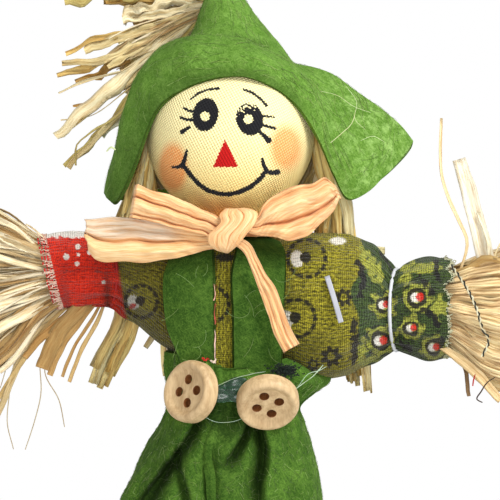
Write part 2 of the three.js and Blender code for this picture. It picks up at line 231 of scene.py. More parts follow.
def corners_of(uv):
    """A grid's UVs in the order that quads gives its corners."""
    return np.stack([uv[:-1, :-1], uv[1:, :-1], uv[1:, 1:], uv[:-1, 1:]], -2).reshape(-1, 4, 2)


def grid(name, points, material, uv=None, wrap=False, thickness=0.0, fields=None, weld=False):
    """A sheet or tube from rows of points.

    A tube's columns close on themselves, and its uv has one more column. A thickness closes it with a second
    layer and a round rim. Without one it stays a single surface.
    """
    rows, columns = points.shape[:2]
    fields = {k: np.asarray(v) for k, v in (fields or {}).items()}
    flat = {k: v.reshape(rows * columns, *v.shape[2:]) for k, v in fields.items()}
    index = np.arange(rows * columns).reshape(rows, columns)
    if wrap:
        index = np.concatenate([index, index[:, :1]], 1)
    if uv is None:
        uv = np.zeros((*index.shape, 2))
    normals = grid_normals(points, wrap)
    if wrap and ((points - points.mean(1, keepdims=True)) * normals).sum(-1).mean() < 0:
        index, uv, normals = index[:, ::-1], uv[:, ::-1], -normals
    faces, corners = quads(index).reshape(-1, 4), corners_of(uv)
    vertices = points.reshape(-1, 3)
    if not thickness:
        item = build(name, vertices, faces, material, corners, flat)
        return welded(item) if weld else item
    raised = 0.0 if wrap else thickness / 2
    offset = normals.reshape(-1, 3)
    outer, inner = vertices + offset * raised, vertices - offset * (thickness - raised)
    count = rows * columns
    layers, all_faces, all_uv = [outer, inner], [faces, faces[:, ::-1] + count], [corners, corners[:, ::-1]]
    sources = [np.arange(count), np.arange(count)]
    flat_uv = np.zeros((count, 2))
    flat_uv[index.ravel()] = uv.reshape(-1, 2)
    made = 2 * count
    for edge, inside in rims(index, wrap):
        span = np.linalg.norm(vertices[edge] - vertices[edge[0]], axis=1).max()
        if span < 1e-3:
            continue
        away = unit(vertices[edge] - vertices[inside])
        layers.append((outer[edge] + inner[edge]) / 2 + away * thickness * 0.4)
        sources.append(edge)
        lip = made + np.arange(len(edge))
        made += len(edge)
        strip = np.stack([edge, lip, edge + count])
        strip = np.concatenate([strip, strip[:, :1]], 1)
        corner_uv = np.stack([flat_uv[np.concatenate([edge, edge[:1]])]] * 3)
        all_faces.append(quads(strip).reshape(-1, 4)[:, ::-1])
        all_uv.append(corners_of(corner_uv)[:, ::-1])
    source = np.concatenate(sources)
    item = build(
        name, np.concatenate(layers), np.concatenate(all_faces), material,
        np.concatenate(all_uv), {k: v[source] for k, v in flat.items()},
    )
    return welded(item) if weld else item


def rims(index, wrap):
    """The open borders of a grid as (border, next row in), each in the order that faces outwards."""
    if wrap:
        ring = index[:, :-1]
        return [(ring[0][::-1], ring[1][::-1]), (ring[-1], ring[-2])]
    border = np.concatenate([index[0, :-1], index[:-1, -1], index[-1, :0:-1], index[:0:-1, 0]])
    inside = np.concatenate([index[1, :-1], index[:-1, -2], index[-2, :0:-1], index[:0:-1, 1]])
    return [(border[::-1], inside[::-1])]


def welded(item):
    """Joins points that lie in one place, such as the columns at a pole."""
    work = bmesh.new()
    work.from_mesh(item.data)
    bmesh.ops.remove_doubles(work, verts=work.verts, dist=1e-6)
    work.to_mesh(item.data)
    work.free()
    return item


# Points across one strand.
RIBS = 5


def between(points, row, column):
    """Positions on a grid of points at fractional rows and columns."""
    row = np.clip(row, 0, points.shape[0] - 1.001)
    column = np.clip(column, 0, points.shape[1] - 1.001)
    i, j = row.astype(int), column.astype(int)
    u, v = (row - i)[:, None], (column - j)[:, None]
    return (
        points[i, j] * (1 - u) * (1 - v) + points[i + 1, j] * u * (1 - v)
        + points[i, j + 1] * (1 - u) * v + points[i + 1, j + 1] * u * v
    )


class Strands:
    """Many flat strands of raffia or thread in one piece. Each is a closed, slightly folded ribbon."""

    def __init__(self):
        self.vertices, self.faces, self.uv, self.tints = [], [], [], []
        self.count = 0

    def add(self, line, width, tint, facing=(0, -1, 0), thick=0.12, fold=0.15, twist=0.0, rough=0.0):
        """One strand along a line of points, with one width or one for each point.

        fold lifts its edges, and rough is how uneven its edges and course are.
        """
        tangent = unit(np.gradient(line, axis=0))
        side = unit(np.cross(tangent, np.asarray(facing, float) + 1e-4))
        normal = np.cross(side, tangent)
        n = len(line)
        angle = np.linspace(0, twist, n)[:, None]
        cos, sin = np.cos(angle), np.sin(angle)
        side, normal = side * cos + normal * sin, normal * cos - side * sin
        rng = np.random.default_rng(self.count)
        smooth = (0.1, 0.25, 0.3, 0.25, 0.1)
        kinks = np.stack([np.convolve(rng.normal(0, 1, n + 4), smooth, "valid") for _ in range(RIBS + 2)], 1)
        width = np.broadcast_to(width, (n,)) * (1 + rough * 0.3 * kinks[:, 0])
        line = line + side * (rough * 0.4 * kinks[:, 1] * np.linspace(0, 1, n) * width)[:, None]
        along = np.concatenate([[0], np.cumsum(np.linalg.norm(np.diff(line, axis=0), axis=1))])
        across = np.linspace(-0.5, 0.5, RIBS)
        lift = fold * 2 * abs(across) + rough * 0.3 * kinks[:, 2:]
        # Painted shade: each strand's edges are darker, for the shade between neighbouring strands, with some
        # random unevenness along it.
        shade = 1 - 0.22 * abs(2 * across) ** 3 + rough * 0.16 * kinks[:, 2:]
        across = np.concatenate([across, across[::-1]])
        lift, shade = (np.concatenate([item, item[:, ::-1]], 1) for item in (lift, shade))
        level = np.repeat([1, -1], RIBS) * thick / 2
        width = width[:, None]
        ring = (
            line[:, None]
            + side[:, None] * (across * width)[..., None]
            + normal[:, None] * (lift * width + level)[..., None]
        )
        index = self.count + np.arange(n * 2 * RIBS).reshape(n, 2 * RIBS)
        index = np.concatenate([index, index[:, :1]], 1)
        last = 2 * RIBS - 1
        ends = [index[0, [last - i, last - i - 1, i + 1, i]] for i in range(RIBS - 1)]
        ends += [index[-1, [i, i + 1, last - i - 1, last - i]] for i in range(RIBS - 1)]
        u = np.concatenate([across * width, (across * width)[:, :1]], 1)
        uv = np.stack([u + self.count * 0.37, np.broadcast_to(along[:, None], u.shape)], -1)
        self.vertices.append(ring.reshape(-1, 3))
        self.faces += [quads(index).reshape(-1, 4), np.array(ends)]
        self.uv += [corners_of(uv), np.zeros((len(ends), 4, 2))]
        self.tints.append((np.asarray(tint, float) * np.clip(shade, 0.4, 1.2)[..., None]).reshape(-1, 3))
        self.count += n * 2 * RIBS

    def piece(self, name, material):
        return build(
            name, np.concatenate(self.vertices), np.concatenate(self.faces), material,
            np.concatenate(self.uv), {"tint": np.concatenate(self.tints)},
        )


# ---- materials -----------------------------------------------------------------------------------

def srgb(red, green, blue):
    """A colour given in everyday 0 to 255 values, as the linear values that shaders use."""
    parts = np.array([red, green, blue]) / 255
    return np.where(parts <= 0.04045, parts / 12.92, ((parts + 0.055) / 1.055) ** 2.4)


class Nodes:
    """Short calls for the nodes of a tree. Each gives the socket that comes out."""

    def __init__(self, tree):
        self.tree = tree

    def feed(self, node, socket, amount):
        target = node.inputs[socket if isinstance(socket, int) else socket.replace("_", " ")]
        if isinstance(amount, bpy.types.NodeSocket):
            self.tree.links.new(amount, target)
        elif target.type == "RGBA":
            target.default_value = (*amount, 1)
        else:
            target.default_value = amount

    def made(self, kind, settings, inputs, out=0):
        """A new node with its settings, and its inputs by name or by number."""
        node = self.tree.nodes.new("ShaderNode" + kind)
        for key, setting in settings.items():
            setattr(node, key, setting)
        for socket, amount in inputs.items():
            self.feed(node, socket, amount)
        return node.outputs[out]

    def node(self, kind, settings=None, out=0, **inputs):
        return self.made(kind, settings or {}, inputs, out)

    def place(self, kind="UV"):
        return self.node("TexCoord", out=kind)

    def axis(self, vector, i):
        return self.node("SeparateXYZ", out=i, Vector=vector)

    def scaled(self, vector, scale):
        """The vector with each axis scaled by its own amount."""
        return self.node("Mapping", Vector=vector, Scale=scale)

    def noise(self, vector, scale, detail=2.0, rough=0.5):
        return self.node("TexNoise", Vector=vector, Scale=scale, Detail=detail, Roughness=rough)

    def maths(self, operation, first, second=0.0, third=0.0):
        return self.made("Math", {"operation": operation}, {0: first, 1: second, 2: third})

    def times(self, first, second):
        return self.maths("MULTIPLY", first, second)

    def fused(self, first, second, third):
        """first times second, plus third."""
        return self.maths("MULTIPLY_ADD", first, second, third)

    def rise(self, amount, low, high, start=0.0, end=1.0):
        """A smooth step from start to end as the amount goes from low to high."""
        settings = {"interpolation_type": "SMOOTHSTEP"}
        return self.made("MapRange", settings, dict(enumerate((amount, low, high, start, end))))

    def mix(self, share, first, second, blend="MIX"):
        settings = {"data_type": "RGBA", "blend_type": blend}
        return self.made("Mix", settings, {0: share, 6: first, 7: second}, 2)

    def field(self, name, out="Fac"):
        return self.node("Attribute", {"attribute_name": name}, out=out)

    def bump(self, height, distance, strength=1.0, normal=None):
        inputs = {"Height": height, "Distance": distance, "Strength": strength}
        if normal is not None:
            inputs["Normal"] = normal
        return self.node("Bump", **inputs)


class Surface(Nodes):
    """A Principled material, and the nodes that feed it."""

    def __init__(self, name, **sockets):
        self.material = bpy.data.materials.new(name)
        self.material.use_nodes = True
        super().__init__(self.material.node_tree)
        self.shader = self.tree.nodes["Principled BSDF"]
        for socket, amount in sockets.items():
            self.feed(self.shader, socket, amount)

    def colour(self, socket):
        self.tree.links.new(socket, self.shader.inputs["Base Color"])

    def relief(self, socket):
        self.tree.links.new(socket, self.shader.inputs["Normal"])


def felt(name, dark, light, blotch, pale=None):
    """Pressed wool: soft blotches, a mat of short fibres, thin pale patches and painted shade, where the
    fields say so.
    """
    m = Surface(
        name, Roughness=0.95, Sheen_Weight=0.06, Sheen_Roughness=0.5, Sheen_Tint=srgb(*light),
        Specular_IOR_Level=0.1,
    )
    place = m.place("Object")
    patches = m.noise(place, 130.0, 3.0, 0.6)
    cloud = m.noise(place, 420.0, 4.0, 0.65)
    layers = []
    for angle in (-0.5, 0.6, 1.9):
        way = m.node("VectorRotate", {"rotation_type": "Y_AXIS"}, Vector=place, Angle=angle)
        layers.append(m.noise(m.scaled(way, (620.0, 2800.0, 3800.0)), 1.0, 3.0, 0.6))
    mat = m.maths("MAXIMUM", m.maths("MAXIMUM", layers[0], layers[1]), layers[2])
    tone = m.fused(patches, blotch, m.fused(cloud, 0.7, -0.35 - blotch / 2))
    tone = m.maths("ADD", tone, m.fused(mat, 2.0, -0.82))
    base = m.mix(m.rise(tone, -0.1, 1.1), srgb(*dark), srgb(*light))
    if pale:
        thin = m.fused(mat, 0.35, m.times(m.noise(place, 460.0, 4.0, 0.7), 1.05))
        share = m.times(m.field("thin"), m.rise(thin, 0.62, 1.0, 0.0, 0.85))
        base = m.mix(share, base, srgb(*pale))
    # The shade field paints shade into the felt, darkening it towards a deep green.
    m.colour(m.mix(m.field("shade"), base, srgb(14, 30, 8)))
    fine = m.bump(mat, 0.00025, 0.6)
    m.relief(m.bump(cloud, 0.0006, 0.5, fine))
    return m.material


def raffia(name, streak=0.35, roughness=0.55, dark=(206, 176, 132), grain=1.0, depth=0.00025):
    """Dry leaf ribbon: its own tint, with fibres and darker veins along it."""
    m = Surface(name, Roughness=roughness, Specular_IOR_Level=0.35, Sheen_Weight=0.1)
    place = m.place()
    fibres = m.noise(m.scaled(place, (6.0 * grain, 0.3 * grain, 1.0)), 1.0, 3.0, 0.6)
    veins = m.noise(m.scaled(place, (2.0 * grain, 0.06, 1.0)), 1.0, 2.0, 0.5)
    shade = m.maths("ADD", m.times(fibres, 0.6), m.times(veins, 0.6))
    veined = m.mix(1.0, m.field("tint", "Color"), srgb(*dark), "MULTIPLY")
    m.colour(m.mix(m.rise(shade, 0.35, 0.35 + streak), veined, m.field("tint", "Color")))
    m.relief(m.bump(shade, depth, 0.9))
    return m.material


def face_cloth():
    """Fine cream cotton with a printed face whose edges break up on the weave."""
    m = Surface("face_cloth", Roughness=0.85, Sheen_Weight=0.1, Specular_IOR_Level=0.2)
    place = m.place()
    bias = m.node("VectorRotate", {"rotation_type": "Z_AXIS"}, Vector=place, Angle=0.3)
    warp, weft = (m.maths("SINE", m.times(m.axis(bias, i), TURN / 0.95)) for i in (0, 1))
    weave = m.times(warp, weft)
    ragged = m.fused(weave, 0.14, m.fused(m.noise(place, 3.6, 3.0, 0.7), 0.7, -0.35))
    # The low field paints shade: darker and warmer cloth towards the bottom of the face and towards its rim.
    base = m.mix(m.field("low"), srgb(255, 246, 186), srgb(255, 224, 130))
    spots = m.noise(place, 2.6, 3.0, 0.7)
    patchy = m.rise(m.fused(weave, -0.2, spots), 0.25, 0.7, 0.5, 1.0)
    base = m.mix(m.times(m.field("blush"), patchy), base, srgb(250, 128, 36))
    threads = m.mix(m.rise(weave, -1.0, 0.6, 0.5, 0.0), base, srgb(204, 156, 82))
    nose = m.rise(m.maths("ADD", m.field("nose"), ragged), 0.08, -0.08)
    inked = m.mix(nose, threads, srgb(186, 12, 10))
    ink = m.rise(m.maths("ADD", m.field("ink"), ragged), 0.1, -0.1)
    m.colour(m.mix(ink, inked, srgb(20, 20, 24)))
    m.relief(m.bump(weave, 0.00016, 0.8))
    return m.material


def plain(name, colour, roughness, bump_scale=900.0, bump=0.00005, spread=0.12):
    """A material with a slight mottle, for small trim."""
    m = Surface(name, Roughness=roughness)
    mottle = m.noise(m.place("Object"), bump_scale, 3.0)
    dark = tuple(c * (1 - spread * 2) for c in srgb(*colour))
    m.colour(m.mix(mottle, dark, srgb(*colour)))
    m.relief(m.bump(mottle, bump))
    return m.material


THREAD = plain("white_thread", (208, 210, 214), 0.8, 1800.0, 0.00008)
RED_THREAD = plain("red_thread", (160, 24, 20), 0.8, 1800.0, 0.00008)
GREEN_THREAD = plain("green_thread", (52, 82, 34), 0.8, 1800.0, 0.00008)
FIBRE = raffia("fibre", roughness=0.8)
TAG = plain("tag_plastic", (176, 178, 186), 0.35, 400.0, 0.00002)
HAT_FELT = felt("hat_felt", (68, 106, 30), (126, 164, 74), 0.4, pale=(146, 180, 100))
FELT = felt("green_felt", (40, 72, 18), (108, 146, 56), 0.5)
FACE = face_cloth()
RAFFIA = raffia("raffia", streak=0.4, dark=(214, 186, 142), grain=1.1, depth=0.0003)


# ---- pieces --------------------------------------------------------------------------------------

def fit(item, nodes, body=None):
    """Hides the CAD nodes that a finished piece stands for, and sets how it moves.

    It rides on a body, or else stays in place, with its transform baked into its mesh.
    """
    if nodes:
        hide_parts(*nodes)
    if body:
        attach(item, body)
    else:
        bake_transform(item)


def fuzz(name, points, count, colours, seed, body=None, shade=None):
    """Short loose hairs on the felt face that a grid of points gives, darker where shade is painted on the
    felt under them.
    """
    rng = np.random.default_rng(seed)
    tall = np.linalg.norm(np.diff(points, axis=0), axis=-1).mean()
    wide = np.linalg.norm(np.diff(points, axis=1), axis=-1).mean()
    out = grid_normals(points, False)
    out = out * np.sign((out * (points - points.reshape(-1, 3).mean(0))).sum())
    hairs = Strands()
    for _ in range(count):
        reach = np.linspace(0, rng.uniform(1.0, 4.2), 7)
        angle = rng.uniform(0, TURN) + reach * rng.normal(0, 0.22)
        row = rng.uniform(4, points.shape[0] - 5) + np.cumsum(np.cos(angle) * reach[1]) / tall
        column = rng.uniform(4, points.shape[1] - 5) + np.cumsum(np.sin(angle) * reach[1]) / wide
        normal = unit(between(out, row, column))
        path = between(points, row, column) + normal * (0.08 + rng.uniform(0, 0.12, 7)[:, None])
        colour = srgb(*colours[rng.integers(len(colours))]) * rng.uniform(0.7, 1.1)
        if shade is not None:
            colour = colour * (1 - 0.9 * shade[int(row[3]) % len(shade), int(column[3]) % shade.shape[1]])
        hairs.add(path, rng.uniform(0.035, 0.07), colour, facing=normal.mean(0), thick=0.04, fold=0)
    fit(hairs.piece(name, FIBRE), [], body)


def head():
    """The stuffed head: a ball of cloth, drawn in at the neck, with the printed face."""
    near, far, columns = 170, 46, 300
    polar = np.concatenate([np.linspace(0, 76, near, endpoint=False), np.linspace(76, 180, far)])
    polar = np.radians(polar)[:, None]
    turn = np.linspace(0, TURN, columns, endpoint=False)[None]
    away = np.stack([
        np.sin(polar) * np.cos(turn),
        -np.cos(polar) * np.ones_like(turn),
        np.sin(polar) * np.sin(turn),
    ], -1)
    points = HEAD + away * HEAD_RADIUS
    points += away * (waves(points, 14, 3) * 0.25)[..., None]
    low = ease(-0.86, -1.0, away[..., 2])
    points[..., 2] -= low * 3.6
    gathers = np.cos(np.arctan2(away[..., 0], away[..., 1]) * 14 + 1)
    points += away * (gathers * ease(-0.6, -0.95, away[..., 2]) * 0.5)[..., None]
    x, z = seen(points)
    around = np.linspace(0, TURN, columns + 1)[None]
    uv = np.stack([polar * np.cos(around), polar * np.sin(around)], -1) * HEAD_RADIUS
    front = points[..., 1] < 2
    # The low field paints shade: darker and warmer cloth towards the bottom of the face and towards its rim.
    item = grid(
        "face_cloth", points, FACE, uv, wrap=True, weld=True,
        fields={
            "ink": np.where(front, face_ink(x, z), 9.0),
            "nose": np.where(front, face_nose(x, z), 9.0),
            "blush": np.where(front, face_blush(x, z), 0.0),
            "low": ease(252, 226, z) * 0.85 + ease(14, 22, np.hypot(x - HEAD[0], z - HEAD[2])) * 0.2,
        },
    )
    fit(item, ["head_cloth", "head_ball"], "head")


def face_ink(x, z):
    """Distance outside the face's black print."""
    eyes = np.minimum(
        np.maximum(oval(x, z, (-6.4, 252.5), 3.1, 4.05, 12), -disc(x, z, (-6.5, 252.1), 1.1)),
        np.maximum(oval(x, z, (4.2, 251.4), 3.25, 3.95, -14), -disc(x, z, (3.9, 251.4), 1.1)),
    )
    worn = waves(np.stack([x, z], -1), 0.42, 5) * 0.8 - 1.7 + ease(251.4, 254.4, z + (4 - x) * 0.3) * 1.6
    eyes = np.where(x > 0, np.maximum(eyes, worn), eyes)
    strokes = [
        ([(-9.9, 256.2), (-8.2, 257.6), (-5.8, 258.5), (-3.2, 258.8)], 0.5, 0.65),
        ([(2.8, 258.5), (4.8, 257.8), (6.9, 256.2), (8.2, 254.7)], 0.6, 0.7),
        ([(-11.6, 254.1), (-10.4, 253.4), (-9.0, 253.2)], 0.6, 0.8),
        ([(-12.3, 251.8), (-11.0, 251.3), (-9.2, 251.2)], 0.7, 0.8),
        ([(-12.0, 248.3), (-10.2, 249.5)], 1.15, 0.7), ([(7.2, 252.2), (10.1, 251.9)], 0.7, 0.4),
        ([(7.2, 250.0), (10.2, 249.2)], 0.7, 0.8), ([(6.6, 248.4), (8.8, 246.3)], 0.7, 1.5),
        ([(-11.4, 239.9), (-9.9, 237.9), (-8.0, 235.8), (-5.7, 234.2), (-2.8, 233.45), (-0.8, 233.35)],
         1.15, 1.1),
        ([(-0.8, 233.35), (1.8, 233.9), (4.4, 235.1), (7.0, 237.3), (8.2, 239.2)], 1.15, 1.15),
        ([(-10.9, 243.8), (-11.4, 241.6), (-12.0, 240.2)], 0.7, 1.35),
        ([(-14.4, 239.9), (-13.2, 239.9), (-11.6, 240.2)], 0.55, 1.1),
        ([(7.3, 241.8), (7.6, 240.2), (8.4, 238.9)], 0.8, 1.2),
        ([(8.2, 238.9), (9.6, 238.5), (11.0, 238.7)], 1.15, 1.35),
    ]
    best = eyes
    for points, start, end in strokes:
        best = np.minimum(best, stroke(x, z, points, start, end))
    return best


def face_nose(x, z):
    """Distance outside the nose, a triangle with soft corners."""
    corners = [(-1.7, 246.1), (-4.3, 240.1), (1.1, 240.1)]
    edges = []
    for (ax, az), (bx, bz) in zip(corners, corners[1:] + corners[:1]):
        length = math.hypot(bx - ax, bz - az)
        edges.append(((x - ax) * (bz - az) - (z - az) * (bx - ax)) / length)
    return np.maximum.reduce(edges) - 0.2


def face_blush(x, z):
    """How strong the rouge is: on both cheeks, and faintly under the chin."""
    left = ease(1.15, 0.35, np.hypot((x + 14.2) / 3.9, (z - 239.8) / 6.6)) * 1.5
    right = ease(1.15, 0.35, np.hypot((x - 12.9) / 4.6, (z - 244.6) / 6.4)) * 1.15
    chin = ease(1.0, 0.0, np.hypot((x + 5) / 17, (z - 226) / 9)) * 1.3
    return np.clip(left + right + chin, 0, 0.9)


# Felt of the hat: rings of control points round the crown's fold, the middle of the brim and its edge.
# Each row is (degrees from the forehead round by the right, fold, middle, edge).
BRIM = [
    (0, (-0.5, -11.2, 270.6), (0.3, -16.6, 266.3), (0.2, -17.0, 261.0)),
    (24, (4.6, -10.2, 269.2), (8.2, -15.2, 264.9), (8.2, -15.6, 259.3)),
    (46, (9.0, -8.0, 267.6), (15.2, -11.6, 261.4), (15.9, -12.8, 253.9)),
    (64, (11.8, -5.0, 266.4), (20.2, -9.2, 256.6), (20.6, -10.8, 246.6)),
    (80, (13.4, -2.6, 265.8), (23.8, -8.2, 250.6), (24.4, -10.2, 237.6)),
    (92, (14.2, -0.8, 265.6), (27.6, -7.2, 247.4), (27.8, -9.8, 232.2)),
    (108, (14.8, 0.8, 265.4), (31.8, -3.2, 250.8), (36.6, -5.0, 237.6)),
    (124, (14.6, 3.6, 265.4), (29.6, 2.6, 259.3), (43.5, 1.8, 246.0)),
    (142, (12.6, 8.6, 265.6), (25.0, 10.0, 257.0), (36.6, 13.4, 243.0)),
    (162, (7.6, 13.2, 265.8), (16.0, 18.6, 255.2), (23.0, 24.0, 238.4)),
    (186, (-1.0, 14.6, 266.0), (-0.6, 23.2, 253.2), (1.0, 30.6, 234.4)),
    (212, (-9.0, 12.0, 266.8), (-14.6, 20.2, 252.4), (-17.0, 26.4, 232.6)),
    (238, (-13.0, 7.6, 267.8), (-22.6, 12.6, 252.0), (-28.0, 15.6, 232.8)),
    (256, (-14.2, 3.6, 268.8), (-25.4, 5.4, 252.2), (-31.0, 5.2, 233.8)),
    (268, (-14.2, 0.8, 269.6), (-25.9, 0.2, 253.0), (-29.6, -2.0, 232.2)),
    (280, (-13.6, -1.6, 270.2), (-25.2, -3.6, 256.0), (-27.2, -5.6, 231.8)),
    (294, (-12.4, -3.8, 270.8), (-23.6, -5.8, 260.0), (-22.9, -8.6, 240.6)),
    (312, (-9.8, -6.6, 271.2), (-19.8, -9.0, 264.4), (-18.6, -11.6, 252.2)),
    (336, (-5.4, -10.0, 271.2), (-10.6, -14.6, 266.8), (-10.2, -15.2, 258.6)),
    (360, (-0.5, -11.2, 270.6), (0.3, -16.6, 266.3), (0.2, -17.0, 261.0)),
]
# The crown above the fold: (share up, middle x, y, z, half width, half depth), to the tip that hangs behind.
CROWN = [
    (0.0, -0.5, 1.6, 268.0, 13.8, 12.6),
    (0.2, -1.2, 1.8, 272.0, 9.7, 9.4),
    (0.42, -1.7, 2.6, 277.5, 6.1, 6.4),
    (0.62, -2.0, 4.6, 283.0, 3.9, 4.4),
    (0.78, -2.3, 8.6, 285.4, 3.2, 3.2),
    (0.9, -2.6, 12.4, 283.6, 2.6, 2.7),
    (1.0, -3.0, 15.4, 280.2, 2.2, 2.4),
]


def periodic(rows, at):
    """A closed smooth curve through rows whose first column goes from 0 to 360."""
    body = np.asarray(rows, float)
    before, after = body[-4:-1].copy(), body[1:4].copy()
    before[:, 0] -= 360
    after[:, 0] += 360
    return spline(np.concatenate([before, body, after]), at)


def hat():
    """The felt hat: a cone whose tip flops behind, creased into a wide brim that frames the face."""
    rings, columns = 132, 300
    degrees = np.linspace(0, 360, columns, endpoint=False)
    fold = periodic([(a, *f) for a, f, _, _ in BRIM], degrees)
    mid = periodic([(a, *m) for a, _, m, _ in BRIM], degrees)
    edge = periodic([(a, *e) for a, _, _, e in BRIM], degrees)
    angle = np.radians(degrees)
    rows = []
    for share in np.linspace(1, 0, rings // 2, endpoint=False):
        x, y, z, wide, deep = spline(CROWN, share)
        tangent = spline(CROWN, min(1, share + 0.02))[:3] - spline(CROWN, max(0, share - 0.02))[:3]
        tangent = unit(tangent)
        right = unit(np.array([1.0, 0, 0]) - tangent * tangent[0])
        front = np.cross(right, tangent)
        ring = (
            np.array([x, y, z])
            + np.cos(angle)[:, None] * front * deep
            + np.sin(angle)[:, None] * right * wide
        )
        join = ease(0.26, 0.0, share)
        rows.append(ring * (1 - join) + fold * join)
    for t in np.linspace(0, 1, rings // 2 + 8):
        rows.append(fold * (1 - t) * (1 - 2 * t) + mid * 4 * t * (1 - t) + edge * t * (2 * t - 1))
    points = np.array(rows)
    tip = np.broadcast_to(points[:1].mean(1, keepdims=True), points[:1].shape)
    points = np.concatenate([tip, points])
    normal = grid_normals(points, True)
    normal *= np.sign((normal * (points - HEAD)).sum(-1).mean())
    down = np.linspace(0, 1, len(points))[:, None]
    join = bell(down, 0.49, 0.07)[..., None]
    for _ in range(24):
        upright = (np.roll(points, 1, 0) + np.roll(points, -1, 0)) / 2
        sideways = (np.roll(points, 1, 1) + np.roll(points, -1, 1)) / 2
        points = points + join * 0.3 * (upright + sideways - 2 * points)
    points = points + normal * (waves(points, 9, 11) * 0.45 * ease(0.15, 0.5, down))[..., None]
    points = points + normal * (waves(points, 4, 12) * 0.12)[..., None]
    # Pale patches of thin felt, stronger on the right brim, where they also paint in the light that falls on
    # it.
    thin = ease(16, 34, points[..., 0]) * 0.95 + 0.15
    # Painted shade in the crease under the crown and along the rim by the face, at the front only.
    painted_shade_under_crown = bell(down, 0.455, 0.028) * ease(15, 6, np.abs(points[..., 0] + 1))
    painted_shade_near_rim = ease(0.86, 0.99, down) * ease(20, 14, points[..., 0])
    shade = 0.36 * (painted_shade_under_crown + painted_shade_near_rim) * ease(4, -6, points[..., 1])
    hairs = [(124, 160, 74), (92, 128, 50), (150, 182, 98)]
    fuzz("hat_fuzz", points[12:-2], 1300, hairs, 313, "head")
    fields = {"thin": thin, "shade": shade}
    item = grid("felt_hat", points, HAT_FELT, wrap=True, thickness=1.3, weld=True, fields=fields)
    fit(item, ["hat"], "head")


# ---- shirt, braces and sleeves -------------------------------------------------------------------

# The shirt's front outline: (height, half width). Its depth is a little less.
SHIRT = [(188, 12.2), (194, 12.9), (203, 13.4), (210, 13.0), (215, 12.0), (219, 10.4), (222, 7.4), (224, 6.2)]
# The torso's middle, a little to the left of the stake.
TORSO_X = -1.0


def blank_print(shape):
    """The print's fields where nothing is printed: distances outside each colour, and no painted shade."""
    fields = {name: np.full(shape, 9.0) for name in ("ink", "white", "red", "teal", "petal", "scarlet")}
    return fields | {"dim": np.zeros(shape)}


def cloth_uv(along, across):
    """UVs from each row's place along the cloth and each column's place across it."""
    return np.stack(np.meshgrid(along, across, indexing="ij"), -1)


def add(fields, name, *shapes):
    """Puts shapes, given as the distance outside each, into one of the print's colours."""
    fields[name] = np.minimum.reduce([fields[name], *shapes])


def ring_flower(fields, x, z, centre, radius):
    """A dashed ring round a dark pupil with a white patch to its left."""
    cx, cz = centre
    pupil = disc(x, z, (cx - 0.3, cz + 0.2), radius * 0.3)
    ring = band(x, z, centre, radius * 0.98, 0.95, dashes=13)
    patch = oval(x, z, (cx - radius * 0.5, cz - 0.1), radius * 0.34, radius * 0.44, -8)
    add(fields, "ink", pupil, ring)
    add(fields, "white", np.maximum(patch, -pupil))


def floret(fields, x, z, centre, radius):
    """A ring of dark petals round an open centre."""
    angle = np.arctan2(z - centre[1], x - centre[0])
    reach = np.hypot(x - centre[0], z - centre[1]) - radius * (0.86 + 0.2 * np.cos(7 * angle))
    add(fields, "ink", np.maximum(reach, -disc(x, z, centre, radius * 0.36)))


def eye_flower(fields, x, z, centre, radius, petals=2.1):
    """A red and white eye in a dark rim, among pale green petals."""
    cx, cz = centre
    angle = np.arctan2(z - cz, x - cx)
    spread = np.hypot(x - cx, z - cz)
    uneven = waves(np.stack([x, z], -1), 1.6, int(cx * 7)) * 0.6
    petal = spread - radius * petals * (1 + 0.14 * np.cos(6 * angle + cx)) + uneven
    rim = np.abs(spread - radius * 0.95) - radius * 0.34 + uneven * 0.4
    gaps = np.maximum(np.abs(spread - radius * 1.9) - radius * 0.16, 0.3 - np.abs(np.sin(4 * angle + cz)))
    add(fields, "ink", gaps + 0.1, rim)
    add(fields, "petal", petal)
    add(fields, "white", disc(x, z, (cx - radius * 0.2, cz), radius * 0.62))
    add(fields, "red", oval(x, z, (cx + radius * 0.35, cz + 0.15), radius * 0.5, radius * 0.55, 0))


